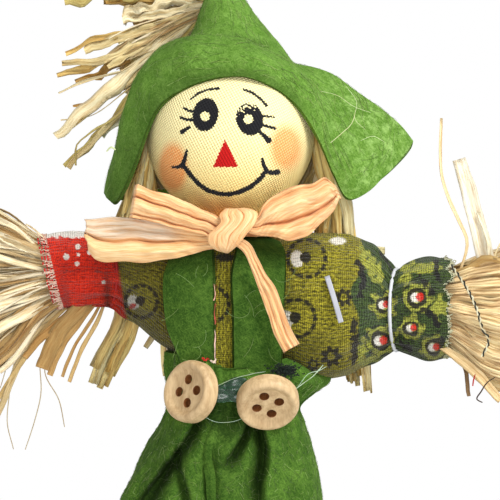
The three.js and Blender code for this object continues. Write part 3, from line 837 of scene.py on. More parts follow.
def print_cloth():
    """Ribbed cotton crepe, olive or red, with a rough print of rings, petals and eyes."""
    m = Surface("print_cloth", Roughness=0.9, Sheen_Weight=0.15, Sheen_Roughness=0.5, Specular_IOR_Level=0.2)
    place = m.place()
    along, across = m.axis(place, 0), m.axis(place, 1)
    wander = m.noise(m.scaled(place, (0.35, 0.9, 1.0)), 1.0, 2.0)
    ribs = m.maths("SINE", m.fused(across, TURN / 0.95, m.times(wander, 9.0)))
    yarns = m.maths("SINE", m.fused(along, TURN / 0.5, m.times(wander, 5.0)))
    dashes = m.noise(m.scaled(place, (1.15, 3.4, 1.0)), 1.0, 2.0, 0.6)
    broken = m.rise(m.noise(m.scaled(place, (0.8, 1.6, 1.0)), 1.0, 2.0), 0.4, 0.6, 0.25, 1.1)
    weave = m.fused(m.times(ribs, broken), 0.5, m.times(yarns, 0.26))
    grit = m.noise(m.scaled(place, (2.2, 5.0, 1.0)), 1.0, 3.0, 0.7)
    tone = m.fused(weave, 0.2, m.fused(dashes, 1.5, m.fused(grit, 0.8, -0.72)))
    olive = m.mix(m.rise(tone, 0.05, 0.85), srgb(54, 48, 0), srgb(186, 176, 46))
    mottle = m.noise(m.scaled(place, (0.5, 0.8, 1.0)), 1.0, 4.0, 0.7)
    olive = m.mix(m.rise(mottle, 0.48, 0.72, 0.0, 0.5), olive, srgb(58, 62, 10))
    patch = m.noise(m.scaled(place, (0.12, 0.12, 1.0)), 1.0, 2.0)
    olive = m.mix(m.rise(patch, 0.4, 0.7, 0.0, 0.55), olive, srgb(96, 92, 18))
    teal = m.mix(m.rise(tone, 0.1, 0.8), srgb(12, 26, 14), srgb(62, 90, 42))
    leaf = m.mix(m.rise(tone, 0.0, 0.8), srgb(74, 82, 12), srgb(186, 188, 76))
    scarlet = m.mix(m.rise(tone, 0.0, 0.7), srgb(150, 3, 2), srgb(234, 30, 16))
    ragged = m.fused(weave, 0.12, m.fused(m.noise(place, 2.4, 3.0, 0.7), 1.1, -0.55))
    base = olive
    # (field, colour, how soft its edge is)
    for name, colour, soft in [
        ("teal", teal, 0.35), ("petal", leaf, 0.3), ("scarlet", scarlet, 0.5), ("ink", srgb(22, 20, 20), 0.2),
        ("white", srgb(236, 232, 220), 0.16), ("red", srgb(206, 36, 20), 0.16),
    ]:
        distance = m.maths("ADD", m.field(name), ragged)
        base = m.mix(m.rise(distance, soft, -soft, 0.0, 0.94), base, colour)
    groove = m.times(m.rise(weave, -0.9, 0.2, 0.42, 0.0), m.rise(m.field("scarlet"), 0.5, -0.5, 1.0, 0.5))
    base = m.mix(groove, base, srgb(20, 14, 4))
    # The dim field paints shade, darkening the cloth towards a deep brown.
    m.colour(m.mix(m.field("dim"), base, srgb(30, 18, 2)))
    m.relief(m.bump(weave, 0.0003, 0.9, m.bump(grit, 0.0003, 0.4)))
    return m.material


PRINT = print_cloth()


def shirt():
    """The shirt on the torso, seen as a strip between the braces."""
    columns = 200
    height = np.linspace(SHIRT[0][0], SHIRT[-1][0], 90)
    points = turned(np.column_stack([value(SHIRT, height), height]), columns) * (1, 0.9, 1) + (TORSO_X, 0, 0)
    points += grid_normals(points, True) * (waves(points, 5, 21) * -0.25)[..., None]
    x, z = seen(points)
    fields = blank_print(x.shape)
    ring_flower(fields, x, z, (-5.0, 207.0), 4.3)
    # A painted shadow under the knot, put into the print's ink.
    add(fields, "ink", oval(x, z, (-1.6, 218.2), 2.4, 1.0, 0))
    add(fields, "red", stroke(x, z, [(-3.9, 212), (-3.8, 203), (-4.0, 194)], 0.25))
    uv = cloth_uv(height, np.linspace(0, 80, columns + 1))
    item = grid("shirt_cloth", points, PRINT, uv, wrap=True, thickness=0.5, fields=fields)
    fit(item, ["shirt_body", "body_stuffing"], "torso")


# A brace's middle line from the front of the waist over the shoulder to the back: (share, y, z).
BRACE = [
    (0.00, -12.4, 188.6), (0.04, -12.6, 191.6), (0.12, -13.3, 199.0), (0.26, -13.5, 209.0),
    (0.37, -12.4, 216.5), (0.44, -9.6, 221.4), (0.50, -2.0, 224.2), (0.56, 6.4, 223.4),
    (0.63, 11.4, 217.5), (0.74, 12.6, 209.0), (0.88, 12.6, 200.0), (1.00, 12.4, 194.6),
]
# Its inner and outer edges: (share, inner x, outer x).
BRACE_LEFT = [
    (0, -4.2, -10.0), (0.08, -4.2, -12.6), (0.14, -4.2, -14.8), (0.22, -4.3, -15.8), (0.35, -4.4, -15.9),
    (0.45, -4.8, -14.6), (0.55, -5.2, -13.6), (0.7, -4.6, -14.0), (1, -3.6, -13.0),
]
BRACE_RIGHT = [
    (0, 0.6, 11.2), (0.2, 0.5, 11.9), (0.35, 0.3, 12.4), (0.45, 1.8, 12.4), (0.55, 2.4, 11.8),
    (0.7, 1.6, 11.6), (1, 0.8, 10.6),
]


def brace(name, edges, node):
    """One felt brace over a shoulder, bent round the side of the chest."""
    rows, columns = 110, 40
    share = np.linspace(0, 1, rows)
    line = spline(BRACE, share)
    inner, outer = spline(edges, share).T
    across = np.linspace(0, 1, columns)[None]
    x = inner[:, None] + (outer - inner)[:, None] * across
    y, z = line[:, None, 0] + 0 * x, line[:, None, 1] + 0 * x
    sideways = np.abs(x - TORSO_X) / 13.4
    y = y * (1 - 0.17 * sideways**3)
    z = z - ease(212, 223, z) * sideways**2 * 3.5
    points = np.stack([x, y, z], -1)
    points += grid_normals(points, False) * (waves(points, 6, 31) * 0.2)[..., None]
    hairs = [(110, 146, 66), (60, 96, 34), (150, 180, 100)]
    fuzz(name + "_fuzz", points, 420, hairs, 317, "torso")
    # The shade field darkens the whole brace a little, and paints shade at its top, under the bow.
    shade = 0.24 + 0.25 * ease(212, 221, points[..., 2])
    item = grid(name, points, FELT, thickness=1.2, fields={"shade": shade})
    fit(item, [node], "torso")


# Outlines of the sleeves, outwards from the body: (distance, top, bottom, half depth).
SLEEVE_RIGHT = [
    (6.0, 219.0, 196.0, 7.5), (10.0, 221.6, 193.0, 9.0), (14.0, 223.4, 190.6, 11.0),
    (18.7, 224.4, 189.2, 12.6), (24.0, 224.3, 188.9, 13.2), (28.0, 223.6, 190.0, 12.6),
    (31.7, 222.0, 192.0, 11.4), (35.0, 219.9, 193.6, 9.8), (37.6, 217.0, 195.2, 8.6),
    (39.4, 215.0, 196.2, 8.2), (41.4, 216.2, 195.8, 8.8), (44.0, 217.4, 194.8, 9.8),
    (48.0, 218.4, 193.8, 10.4), (52.0, 218.2, 194.2, 10.6),
]
SLEEVE_LEFT = [
    (6.0, 217.0, 194.0, 7.0), (10.0, 219.4, 193.6, 8.2), (14.0, 221.6, 195.0, 9.0),
    (18.0, 222.4, 198.2, 9.6), (22.0, 222.6, 201.4, 9.2), (26.0, 222.4, 204.2, 8.2),
    (29.4, 222.0, 206.6, 6.6), (32.0, 223.2, 206.6, 7.6), (36.0, 224.2, 206.2, 8.2),
    (40.0, 224.2, 206.0, 8.4), (44.2, 223.6, 205.8, 8.4),
]


def tube(stations, rows, columns, pinch, pleat, count, seed):
    """A gathered sleeve: an oval tube along +X, drawn in at pinch, with pleats that fade away from it."""
    distance = np.linspace(stations[0][0], stations[-1][0], rows)
    high, low, deep = spline(stations, distance).T
    angle = np.linspace(0, TURN, columns, endpoint=False)[None]
    near = bell(distance, pinch, 5.5)[:, None]
    far = bell(distance, pinch, 12.0)[:, None]
    ripple = near * np.cos(count * angle + 2.2 * np.sin(2 * angle + seed)) * pleat
    ripple = ripple + far * np.cos(round(count * 0.55) * angle + seed) * pleat * 0.35
    half = ((high - low) / 2)[:, None]
    z = ((high + low) / 2)[:, None] + (half + ripple) * np.sin(angle)
    y = -(deep[:, None] + ripple) * np.cos(angle)
    x = distance[:, None] - 1.9 * bell(distance, pinch, 7.0)[:, None] * np.cos(angle)
    points = np.stack([x + 0 * z, y, z], -1)
    stretched = points * (0.45, 1, 1)
    normals = outward(points)
    swell = ease(stations[0][0] + 4, stations[0][0] + 9, distance)[:, None]
    bumps = waves(stretched, 3.2, seed) * 0.35 + waves(stretched, 1.5, seed + 1) * 0.12
    points += normals * (bumps * swell)[..., None]
    return points


def nearest_row(stations, rows, distance):
    """The row of a tube over the stations that is nearest to a distance."""
    return int(round((distance - stations[0][0]) / (stations[-1][0] - stations[0][0]) * (rows - 1)))


def sweep(path, radius, sides=10, closed=False):
    """Rows of points round a path, for a round cord."""
    path = np.asarray(path, float)
    if closed:
        tangent = unit(np.roll(path, -1, 0) - np.roll(path, 1, 0))
    else:
        tangent = unit(np.gradient(path, axis=0))
    side = unit(np.cross(tangent, (0.13, 0.2, 1.0)))
    up = np.cross(side, tangent)
    angle = np.linspace(0, TURN, sides, endpoint=False)[None, :, None]
    rows = path[:, None] + radius * (side[:, None] * np.cos(angle) + up[:, None] * np.sin(angle))
    return np.concatenate([rows, rows[:1]]) if closed else rows


def tie(name, node, ring, radius, material, body, proud=0.0):
    """A round thread tied over a gather, given as a ring of points. proud is how far it stands off them."""
    middle = ring.mean(0)
    for _ in range(8):
        ring = (np.roll(ring, 1, 0) + 2 * ring + np.roll(ring, -1, 0)) / 4
    path = ring + unit(ring - middle) * (radius + proud)
    item = grid(name, sweep(path, radius, closed=True), material, wrap=True, weld=True)
    fit(item, [node], body)


def fray(edge, inside, name, body, length, colour, count, seed):
    """Loose threads that stand out of a cut edge."""
    rng = np.random.default_rng(seed)
    threads = Strands()
    for i in rng.integers(0, len(edge), count):
        away = unit(edge[i] - inside[i])
        out = away + rng.normal(0, 0.25, 3)
        line = edge[i] - away * 0.4 + out * np.linspace(0, rng.uniform(0.5, 1) * length, 5)[:, None]
        line[:, 2] += rng.normal(0, 0.12, 5)
        threads.add(line, 0.2, srgb(*colour) * rng.uniform(0.75, 1.05), thick=0.12, fold=0)
    fit(threads.piece(name, FIBRE), [], body)


def weft(edge, inside, offsets, name, body):
    """Broken red threads that run round beyond a cut edge, across its loose ones."""
    rng = np.random.default_rng(47)
    threads = Strands()
    for offset in offsets:
        ring = edge + unit(edge - inside) * offset
        for i in range(0, len(ring) - 6, 7):
            bit = ring[i : i + rng.integers(4, 8)] + rng.normal(0, 0.06, 3)
            threads.add(bit, 0.36, srgb(206, 40, 34), facing=(0.2, -1, 0.1), thick=0.2, fold=0)
    fit(threads.piece(name, FIBRE), [], body)


def sleeve_right():
    """The olive sleeve, whose cuff is printed with leaves and eyes."""
    rows, columns = 170, 300
    points = tube(SLEEVE_RIGHT, rows, columns, 39.4, 0.55, 17, 41)
    edge = np.linspace(0, 1, rows)[:, None] ** 12
    points[..., 0] += edge * (waves(points[-1][None], 3.0, 44) - 0.6)
    x, z = seen(points)
    flat = np.stack([x, z], -1)
    fields = blank_print(x.shape)
    for centre in [(17.9, 218.0), (15.4, 203.6)]:
        ring_flower(fields, x, z, centre, 4.6)
    for centre, radius in [((26.8, 208.6), 2.2), ((23.8, 194.4), 2.6), ((19.5, 192.5), 1.6)]:
        floret(fields, x, z, centre, radius)
    add(fields, "white", oval(x, z, (25.4, 222.2), 1.9, 0.9, 0))
    fields["teal"] = 30.4 + 0.9 * np.sin(z * 0.5) + 1.4 * np.sin(z * 0.23 + 1) - x
    for centre, radius in [
        ((36.4, 206.8), 1.6), ((35.6, 198.2), 1.9), ((44.4, 208.6), 1.9), ((43.0, 201.2), 1.5),
        ((48.4, 196.6), 1.6),
    ]:
        eye_flower(fields, x, z, centre, radius, 1.9)
    for centre, size, lean in [
        ((33.6, 216.0), (1.8, 4.4), -30), ((46.4, 215.6), (3.4, 1.5), 0), ((49.6, 206.2), (1.8, 2.6), 10),
        ((41.6, 214.2), (1.3, 2.4), 20), ((31.2, 196.0), (1.2, 3.0), 10), ((33.6, 193.6), (2.2, 0.9), -20),
    ]:
        add(fields, "petal", oval(x, z, centre, *size, lean) + waves(flat, 1.5, int(centre[0])) * 0.7)
    for line, width in [
        ([(30.4, 217.4), (31.6, 213.6), (31.0, 209.6)], 1.5),
        ([(29.2, 202.4), (29.6, 197.6), (29.0, 193.6)], 1.6),
        ([(44.6, 213.2), (46.6, 212.2), (47.6, 209.6)], 1.3),
        ([(46.2, 205.6), (48.4, 204.2), (49.6, 201.2)], 1.4), ([(48.8, 217.0), (49.6, 213.0)], 1.2),
        ([(40.8, 197.4), (43.0, 195.8)], 1.3), ([(50.0, 200.0), (50.6, 197.0)], 1.0),
    ]:
        add(fields, "ink", stroke(x, z, line, width) + waves(flat, 1.2, int(width * 10)) * 0.5)
    add(fields, "ink", stroke(x, z, [(35.4, 219.4), (37.0, 217.6), (38.4, 215.2)], 0.7, 0.5))
    # Painted shade: the sleeve is dimmed along its lower side.
    fields["dim"] = ease(204, 190, z) * 0.35
    uv = cloth_uv(np.linspace(6, 52, rows), np.linspace(0, 92, columns + 1))
    item = grid("print_sleeve_right", points, PRINT, uv, wrap=True, thickness=0.45, fields=fields)
    ring = points[nearest_row(SLEEVE_RIGHT, rows, 39.4)]
    tie("thread_wrist_right", "wrist_tie_right", ring[::6], 0.44, THREAD, "right_arm", proud=0.2)
    fray(points[-1], points[-8], "frayed_cuff_right", "right_arm", 1.3, (206, 210, 176), 240, 45)
    fit(item, ["sleeve_right"])


def sleeve_left():
    """The short red sleeve, olive as far as its wrist, with a pale hem and spots."""
    rows, columns = 150, 280
    points = tube(SLEEVE_LEFT, rows, columns, 29.4, 0.7, 13, 53)
    points[..., 0] += ease(38, 44, points[..., 0]) * (points[..., 2] - 221) * 0.24
    points = (points * (-1, 1, 1))[:, ::-1]
    x, z = seen(points)
    flat = np.stack([x, z], -1)
    fields = blank_print(x.shape)
    ring_flower(fields, x, z, (-21.8, 207.6), 3.9)
    fields["scarlet"] = x + 27.0 - (z - 214) * -0.16
    # Painted shade: the sleeve is dimmed a little all over, more towards the body and along its lower side,
    # in soft folds over the cuff, and in a crease at x -29.9.
    fields["dim"] = (
        0.02 + 0.18 * ease(-28.2, -26.4, x) + 0.2 * ease(215, 206, z) + 0.2 * ease(-36, -30, x)
        + 0.14 * waves(flat * (1, 0.2), 3.4, 58) * ease(-26, -30, x)
        + 0.4 * bell(x, -29.9, 0.9) * ease(217, 212, z)
    )
    add(fields, "red", oval(x, z, (-23.9, 206.5), 0.9, 0.6, -30))
    wander = waves(flat, 1.2, 57) * 0.2
    add(fields, "white", (223.0 - z) * 0.8 + wander + ease(-34.5, -33, x) * 3)
    add(fields, "ink", np.maximum(223.6 - z + wander, 0.5 - np.abs(np.sin(x * 1.7 + wander))))
    for cx, cz, radius in [
        (-39.8, 218.4, 0.75), (-37.0, 220.8, 0.65), (-36.9, 218.9, 0.4), (-37.2, 216.7, 0.55),
        (-34.2, 219.4, 0.6), (-30.8, 212.3, 0.45), (-22.8, 206.6, 0.5),
    ]:
        add(fields, "white", disc(x, z, (cx, cz), radius))
    uv = cloth_uv(np.linspace(6, 44, rows), np.linspace(0, 66, columns + 1))
    item = grid("print_sleeve_left", points, PRINT, uv, wrap=True, thickness=0.45, fields=fields)
    ring = points[nearest_row(SLEEVE_LEFT, rows, 29.4)]
    tie("thread_wrist_left", "wrist_tie_left", ring[::6], 0.3, RED_THREAD, "left_arm", proud=-0.1)
    fray(points[-1], points[-8], "frayed_cuff_left", "left_arm", 2.3, (238, 204, 186), 380, 46)
    weft(points[-1], points[-8], (0.4, 1.0, 1.7), "weft_cuff_left", "left_arm")
    fit(item, ["sleeve_left"])


# ---- trousers ------------------------------------------------------------------------------------

# One half of the trousers: (height, outer x, inner x, half depth), from the hem to the ruffle at the waist.
HALF_LEFT = [
    (96.5, -23.4, -5.0, 8.6), (100.5, -22.0, -6.2, 7.8), (103, -21.4, -6.6, 7.4), (106, -22.6, -5.6, 8.4),
    (112, -24.0, -4.4, 9.6), (124, -25.4, -3.4, 11.4), (134, -26.4, -2.9, 13.2), (142, -27.2, -2.8, 15.4),
    (150, -27.8, -4.0, 16.4), (160, -26.8, -5.0, 16.4), (166, -23.9, -5.6, 16.0), (174, -19.7, -5.4, 15.2),
    (179, -17.3, -3.4, 14.4), (182.6, -15.7, -2.6, 13.8), (186, -15.6, -2.9, 14.2), (191, -15.8, -3.2, 14.4),
    (195.5, -15.6, -3.6, 13.8),
]
HALF_RIGHT = [
    (96.5, 23.4, 5.0, 8.6), (100.5, 22.0, 6.2, 7.8), (103, 21.4, 6.6, 7.4), (106, 22.6, 5.6, 8.4),
    (112, 24.0, 4.4, 9.6), (124, 25.2, 3.4, 11.4), (134, 25.4, 2.9, 13.2), (142, 24.8, 2.6, 15.4),
    (150, 23.4, -1.4, 16.4), (160, 21.5, -4.8, 16.4), (166, 20.4, -5.4, 16.0), (174, 18.8, -5.2, 15.2),
    (179, 17.6, -3.2, 14.4), (182.6, 16.2, -2.4, 13.8), (185.6, 19.6, -2.7, 14.2), (189, 23.4, -3.0, 14.4),
    (192, 21.8, -3.2, 14.4), (195.5, 16.6, -3.4, 13.8),
]
# The top edge's height across the front, from the left to the right.
TOP_EDGE = [
    (-16, 195.6), (-10, 194.8), (-4.6, 193.2), (-3.4, 192.4), (2.7, 191.8), (10.6, 193.2), (16, 194.8),
    (24, 194.8),
]
# Folds of the seat's front: points of a valley from the waist down, the side on which its ridge stands, how
# high the ridge is, and how deep and wide the valley is.
FOLDS = [
    ([(-8.2, 179.6), (-10.3, 175.3), (-12.2, 172.3), (-14.4, 169.0), (-16.7, 165.7), (-19.4, 162.2),
      (-23.2, 157.0), (-25.8, 152.0)], -1, 1.8, 6.5, 0.9),
    ([(-14.4, 169.4), (-18.0, 163.0), (-20.6, 157.0), (-21.0, 150.0), (-21.0, 144.0)], 1, 0.2, 4.5, 1.9),
    ([(-12.8, 172.0), (-12.5, 167.2), (-11.0, 162.2), (-10.2, 157.0), (-10.0, 148.0)], 1, 0.9, 3.4, 0.6),
    ([(4.5, 180.0), (2.8, 175.2), (1.0, 172.2), (-1.1, 169.0), (-3.4, 165.0)], -1, 1.3, 5.5, 0.6),
    ([(6.4, 180.0), (7.9, 172.0), (7.6, 168.2), (6.7, 164.6), (6.2, 158.0), (6.0, 150.0)], 1, 1.6, 6.0, 0.9),
    ([(12.2, 181.6), (13.2, 174.0), (14.4, 165.0)], -1, 0.5, 1.2, 0.9),
    ([(-13.2, 181.6), (-16.4, 175.6), (-19.6, 168.0)], 1, 0.5, 1.0, 0.8),
    ([(14.6, 164.0), (13.6, 156.0), (14.4, 146.0)], -1, 0.5, 1.2, 1.1),
]


def crease(x, z, path, side, ridge, depth, width):
    """How far a fold lifts the cloth, a narrow valley with a round ridge beside it, and how much shade is
    painted into it.
    """
    nearest, signed, share = np.full(x.shape, 99.0), np.zeros(x.shape), np.zeros(x.shape)
    for i, (a, b) in enumerate(zip(path, path[1:])):
        distance, t = to_segment(x, z, a, b)
        across = (b[0] - a[0]) * (z - a[1]) - (b[1] - a[1]) * (x - a[0])
        closer = distance < nearest
        nearest = np.where(closer, distance, nearest)
        signed = np.where(closer, distance * np.sign(across) * side, signed)
        share = np.where(closer, (i + t) / (len(path) - 1), share)
    spread = 1 + 0.9 * share
    wall = np.where(signed > 0, 0.6, 1.9) * width * spread
    fade = (1 - ease(0.6, 1.0, share)) * ease(-0.02, 0.1, share + 0.04)
    lift = ridge * bell(signed, 1.7, 1.5 * spread) - depth * bell(signed, 0, wall)
    return lift * fade, bell(signed, 0, wall * 0.9) * fade * min(1, depth / 5)


def trouser_half(stations, seed):
    """Half of the dungarees: one side of the seat and its leg, as one felt tube with a flat inner wall.

    Gives its points, each row's height before the folds are put in, and the shade painted into its creases,
    seam and hollows.
    """
    rows = np.concatenate([np.linspace(96.5, 145, 62, endpoint=False), np.linspace(145, 195.5, 148)])
    height = rows[:, None]
    outer, inner, deep = (spline(stations, rows)[:, i, None] for i in range(3))
    # The share of a row that goes round the outside; the rest is the flat inner wall.
    bowed = 0.74
    share = np.concatenate([
        np.linspace(0, 0.4, 150, endpoint=False), np.linspace(0.4, bowed, 50, endpoint=False),
        np.linspace(bowed, 1, 34, endpoint=False),
    ])[None]
    angle = np.clip(share / bowed, 0, 1) * math.pi
    flat = np.clip((share - bowed) / (1 - bowed), 0, 1)
    seat_x = np.where(share < bowed, np.sin(angle) ** 0.86, -0.02 * np.sin(flat * math.pi))
    seat_y = np.where(share < bowed, -np.cos(angle), 1 - 2 * flat)
    leg_turn = (share - 0.37) * TURN
    above = ease(134, 150, height)
    out = seat_x * above + (1 + np.cos(leg_turn)) / 2 * (1 - above)
    y = (seat_y * above + np.sin(leg_turn) * (1 - above)) * deep
    x = inner + (outer - inner) * out
    points = np.stack([x, y, height + 0 * x], -1)
    normals = outward(points)
    front = ease(5, -2, y)
    gather = bell(height, 183, 4.0)
    pleats = np.cos(15 * TURN * share + seed + 1.5 * np.sin(5 * share * TURN)) * gather * 0.6
    pleats = pleats * ease(bowed, bowed - 0.06, share)
    ruffle = np.cos(7 * TURN * share + seed) * ease(184, 193, height) * 0.8 * ease(bowed, bowed - 0.1, share)
    falls = np.cos(9 * share * TURN + seed + (height - 183) * 0.03)
    falls = falls * bell(height, 174, 12.0) * 1.1 * (1 - front)
    ankle = bell(height, 103, 3.5) * np.cos(13 * TURN * share + seed) * 0.45
    soft = waves(points * (1, 1, 0.5), 7, seed) * 0.5 + waves(points * (1, 1, 0.6), 3, seed + 1) * 0.16
    points += normals * (pleats + ruffle + falls + ankle + soft * ease(190, 180, height))[..., None]
    across, up = seen(points)
    facing = front * ease(0.35, 0.8, -normals[..., 1])
    lift, dark = np.array([crease(across, up, *fold) for fold in FOLDS]).sum(0)
    points[..., 1] -= lift * facing
    seam = bell(points[..., 0], -5.3, 2.2) * front * ease(bowed, bowed - 0.04, share)
    seam = seam * ease(176, 168, height) * ease(146, 156, height)
    points[..., 1] += seam * 2.2
    if outer[0, 0] < 0:
        tucked = bell(points[..., 0], inner, 1.6) * front * ease(bowed, bowed - 0.04, share)
        points += (tucked * ease(150, 156, height))[..., None] * (1.3, 0.9, 0)
    # Painted shade: the creases, the seam's valley, the felt under the waist's string and the front between
    # the folds are darkened.
    dark = (dark + seam * 0.5) * facing * 0.74
    waist = ease(2.5, -2.0, oval(across, up, (-0.6, 180.6), 5.6, 6.2, 0)) * front
    between_folds = 0.14 * front * ease(8.5, 4.0, np.abs(across + 1.5)) * ease(180, 174, height)
    dark = np.clip(np.maximum(dark + between_folds, waist * 0.6), 0, 0.7)
    points[..., 2] += (value(TOP_EDGE, points[..., 0]) - 195.5) * ease(184, 195.5, height) * front
    return points, rows, dark


def trousers():
    """Both halves of the dungarees, and the ties at their ankles and waist."""
    hairs = [(120, 156, 72), (66, 100, 36), (150, 180, 100)]
    for side, stations, x, seat, seed in [
        ("left", HALF_LEFT, -14, ["trousers_seat", "hips_stuffing"], 61),
        ("right", HALF_RIGHT, 14, [], 67),
    ]:
        name, leg = "felt_trousers_" + side, side + "_leg"
        points, rows, dark = trouser_half(stations, seed)
        item = grid(name, points, FELT, wrap=True, thickness=1.1, fields={"shade": dark})
        fuzz(name + "_fuzz", points, 1500, hairs, seed + 300, shade=dark)
        fit(item, ["trouser_leg_" + side, *seat])
        ring = points[int(np.argmin(abs(rows - 103)))][::5]
        tie("thread_ankle_" + side, "ankle_tie_" + side, ring, 0.45, THREAD, leg, proud=0.2)
    waist = turned([(1, 182.9)], 60)[0] * (15.8, 13.2, 1)
    tie("thread_waist", "waist_tie", waist, 0.35, GREEN_THREAD, "torso")


# ---- buttons -------------------------------------------------------------------------------------

def wood(name, dark, light, scale=1.0):
    """Bare close-grained wood with fine pores along the grain."""
    m = Surface(name, Roughness=0.55, Specular_IOR_Level=0.4)
    place = m.place("Object")
    grain = m.noise(m.scaled(place, (380.0 * scale, 500.0 * scale, 90.0 * scale)), 1.0, 3.0, 0.6)
    pores = m.noise(m.scaled(place, (2600.0, 2600.0, 520.0)), 1.0, 2.0)
    tone = m.fused(pores, 0.35, m.times(grain, 0.75))
    m.colour(m.mix(m.rise(tone, 0.3, 0.75), srgb(*dark), srgb(*light)))
    m.relief(m.bump(tone, 0.00008, 0.7))
    return m.material


BUTTON_WOOD = wood("button_wood", (172, 140, 98), (210, 182, 138), 1.6)
# The holes' walls are drawn in dark wood: painted shade inside the holes.
HOLE_WOOD_PAINTED_SHADE = wood("hole_wood_painted_shade", (84, 44, 16), (142, 88, 44))
STAKE_WOOD = wood("stake_wood", (176, 138, 88), (220, 188, 138))
# A button's section from its back to its middle: (radius, height).
BUTTON = [
    (0, 0), (6.4, 0), (7.0, 0.12), (7.35, 0.5), (7.4, 1.4), (7.4, 2.5), (7.3, 3.2), (6.95, 3.8), (6.4, 4.12),
    (5.9, 4.05), (5.4, 3.7), (4.9, 3.25), (4.3, 3.05), (3.2, 3.0), (0, 3.0),
]
# A hole's section from its bottom to above the button, where it is countersunk.
DRILL = [(0, 0.5), (1.06, 0.5), (1.06, 2.3), (1.1, 2.85), (1.36, 3.4), (2.3, 4.6), (0, 4.6)]


def button(name, node, centre, tilt, swing, first_hole, seed):
    """A turned four-hole button: a soft raised rim, a dished middle, and drilled holes.

    tilt turns its face up or down, and swing turns it to one side, in degrees.
    """
    section = np.concatenate([BUTTON[:1], route(BUTTON[1:-1], 70), BUTTON[-1:]])
    blank = grid("blank", turned(section, 120), BUTTON_WOOD, wrap=True, weld=True)
    drills = []
    for i in range(4):
        turn = math.radians(90 * i + first_hole)
        place = (2.78 * math.cos(turn), 2.78 * math.sin(turn), 0)
        drills.append(grid("drill", turned(DRILL, 40) + place, HOLE_WOOD_PAINTED_SHADE, wrap=True, weld=True))
    for drill in drills:
        cut = blank.modifiers.new("cut", "BOOLEAN")
        cut.operation, cut.object, cut.solver, cut.material_mode = "DIFFERENCE", drill, "EXACT", "TRANSFER"
    drilled = blank.evaluated_get(bpy.context.evaluated_depsgraph_get())
    mesh = bpy.data.meshes.new_from_object(drilled)
    mesh.name = name
    for old in [blank, *drills]:
        bpy.data.objects.remove(old)
    co = np.empty(len(mesh.vertices) * 3, np.float32)
    mesh.vertices.foreach_get("co", co)
    co = co.reshape(-1, 3).astype(float) / MM
    co += (waves(co, 5, seed) * 0.06)[:, None] * unit(co + (0, 0, 0.01))
    a, b = math.radians(90 + tilt), math.radians(-swing)
    co = co @ np.array([[1, 0, 0], [0, math.cos(a), math.sin(a)], [0, -math.sin(a), math.cos(a)]])
    co = co @ np.array([[math.cos(b), math.sin(b), 0], [-math.sin(b), math.cos(b), 0], [0, 0, 1]])
    mesh.vertices.foreach_set("co", ((co + centre) * MM).astype(np.float32).ravel())
    mesh.update()
    item = bpy.data.objects.new(name, mesh)
    bpy.context.scene.collection.objects.link(item)
    item.modifiers.new("even", "WEIGHTED_NORMAL").keep_sharp = False
    fit(item, [node], "torso")


def stake():
    """The dowel that the figure is built on, sharpened below."""
    section = [(0, 0), (1.1, 0), (1.25, 0.3), (2.35, 8.4), (2.5, 9.6), (2.5, 60), (2.5, 252), (0, 252)]
    item = grid("dowel", turned(section, 40), STAKE_WOOD, wrap=True, weld=True)
    fit(item, ["stake"], "torso")


# ---- bow -----------------------------------------------------------------------------------------

BOW = raffia("bow_raffia", streak=0.45, roughness=0.6, dark=(236, 198, 158), grain=0.85, depth=0.0004)
APRICOT, DEEP = srgb(250, 216, 164), srgb(214, 148, 92)
# The left tail's dark and light, where it is doubled and where it is sheer.
TAIL = [(srgb(230, 180, 122), srgb(250, 220, 168)), (srgb(200, 184, 162), srgb(240, 224, 200))]


def pleated(upper, lower, depth, ridges, seed, crumple=0.2, creased=1.0):
    """A ribbon between two edges given as (x, z) points, and how light each point of it is, with painted
    light and shade.

    depth gives y from the shares along and across. A ridge is (share across at its start, share at its end,
    height, width), and its height is negative for a crease. crumple is how strong the bumps are, and creased
    how strong the sharp lines along the ribbon are.
    """
    rows, columns = 120, 96
    high, low = (route([(x, 0, z) for x, z in side], rows) for side in (upper, lower))
    s, t = np.linspace(0, 1, rows)[:, None], np.linspace(0, 1, columns)[None]
    points = high[:, None] + (low - high)[:, None] * t[..., None]
    width = np.linalg.norm(high - low, axis=1)[:, None]
    length = np.linalg.norm(np.diff((high + low) / 2, axis=0), axis=1).sum()
    place = np.stack(np.broadcast_arrays(s * length, t * width), -1)
    wander = waves(place * (0.4, 1.0), 3.2, seed) * 0.035
    lift = np.zeros((rows, columns))
    for start, end, height, wide in ridges:
        at = start + (end - start) * s + wander
        lift = lift + height * bell(t, at, wide)
    lift = lift * np.clip(width / 7, 0.25, 1.2)
    long_grain = waves(place * (0.16, 1.0), 0.8, seed + 1)
    fine_grain = waves(place * (0.08, 1.0), 0.42, seed + 3, 20)
    sharp = (np.minimum(np.abs(waves(place * (0.05, 1.0), 1.15, seed + 4, 18)), 0.6) - 0.35) * creased
    crinkle = waves(place * (0.6, 1.0), 2.0, seed + 2) * crumple + long_grain * 0.03 + fine_grain * 0.05
    points[..., 1] = depth(s, t) - lift - crinkle - sharp * 0.24
    points[..., 2] += waves(points, 3, seed + 5) * 0.15
    cloud = waves(place * (0.3, 1.0), 2.4, seed + 9)
    # Painted light and shade: ridges are lighter and creases and sharp lines darker. The grain and cloud give
    # the ribbon's own uneven tone.
    tone = 0.66 + lift * 0.3 + sharp * 0.36 + long_grain * 0.1 + fine_grain * 0.16 + cloud * 0.14
    tone = np.clip(tone, 0, 1)
    return points, tone


def tinted(tone, dark, light):
    """Colours between dark and light."""
    return dark + (light - dark) * tone[..., None]


def ribbon_uv(rows, columns, length, width):
    """Where a ribbon's points lie across and along its fibres."""
    return cloth_uv(np.linspace(0, length, rows), np.linspace(0, width, columns))[..., ::-1]


def ribbon(node, points, tint, length, width, thickness=0.2):
    """A piece of the bow, in the place of its CAD node."""
    uv = ribbon_uv(*tint.shape[:2], length, width)
    item = grid(node + "_raffia", points, BOW, uv, thickness=thickness, fields={"tint": tint})
    fit(item, [node], "torso")


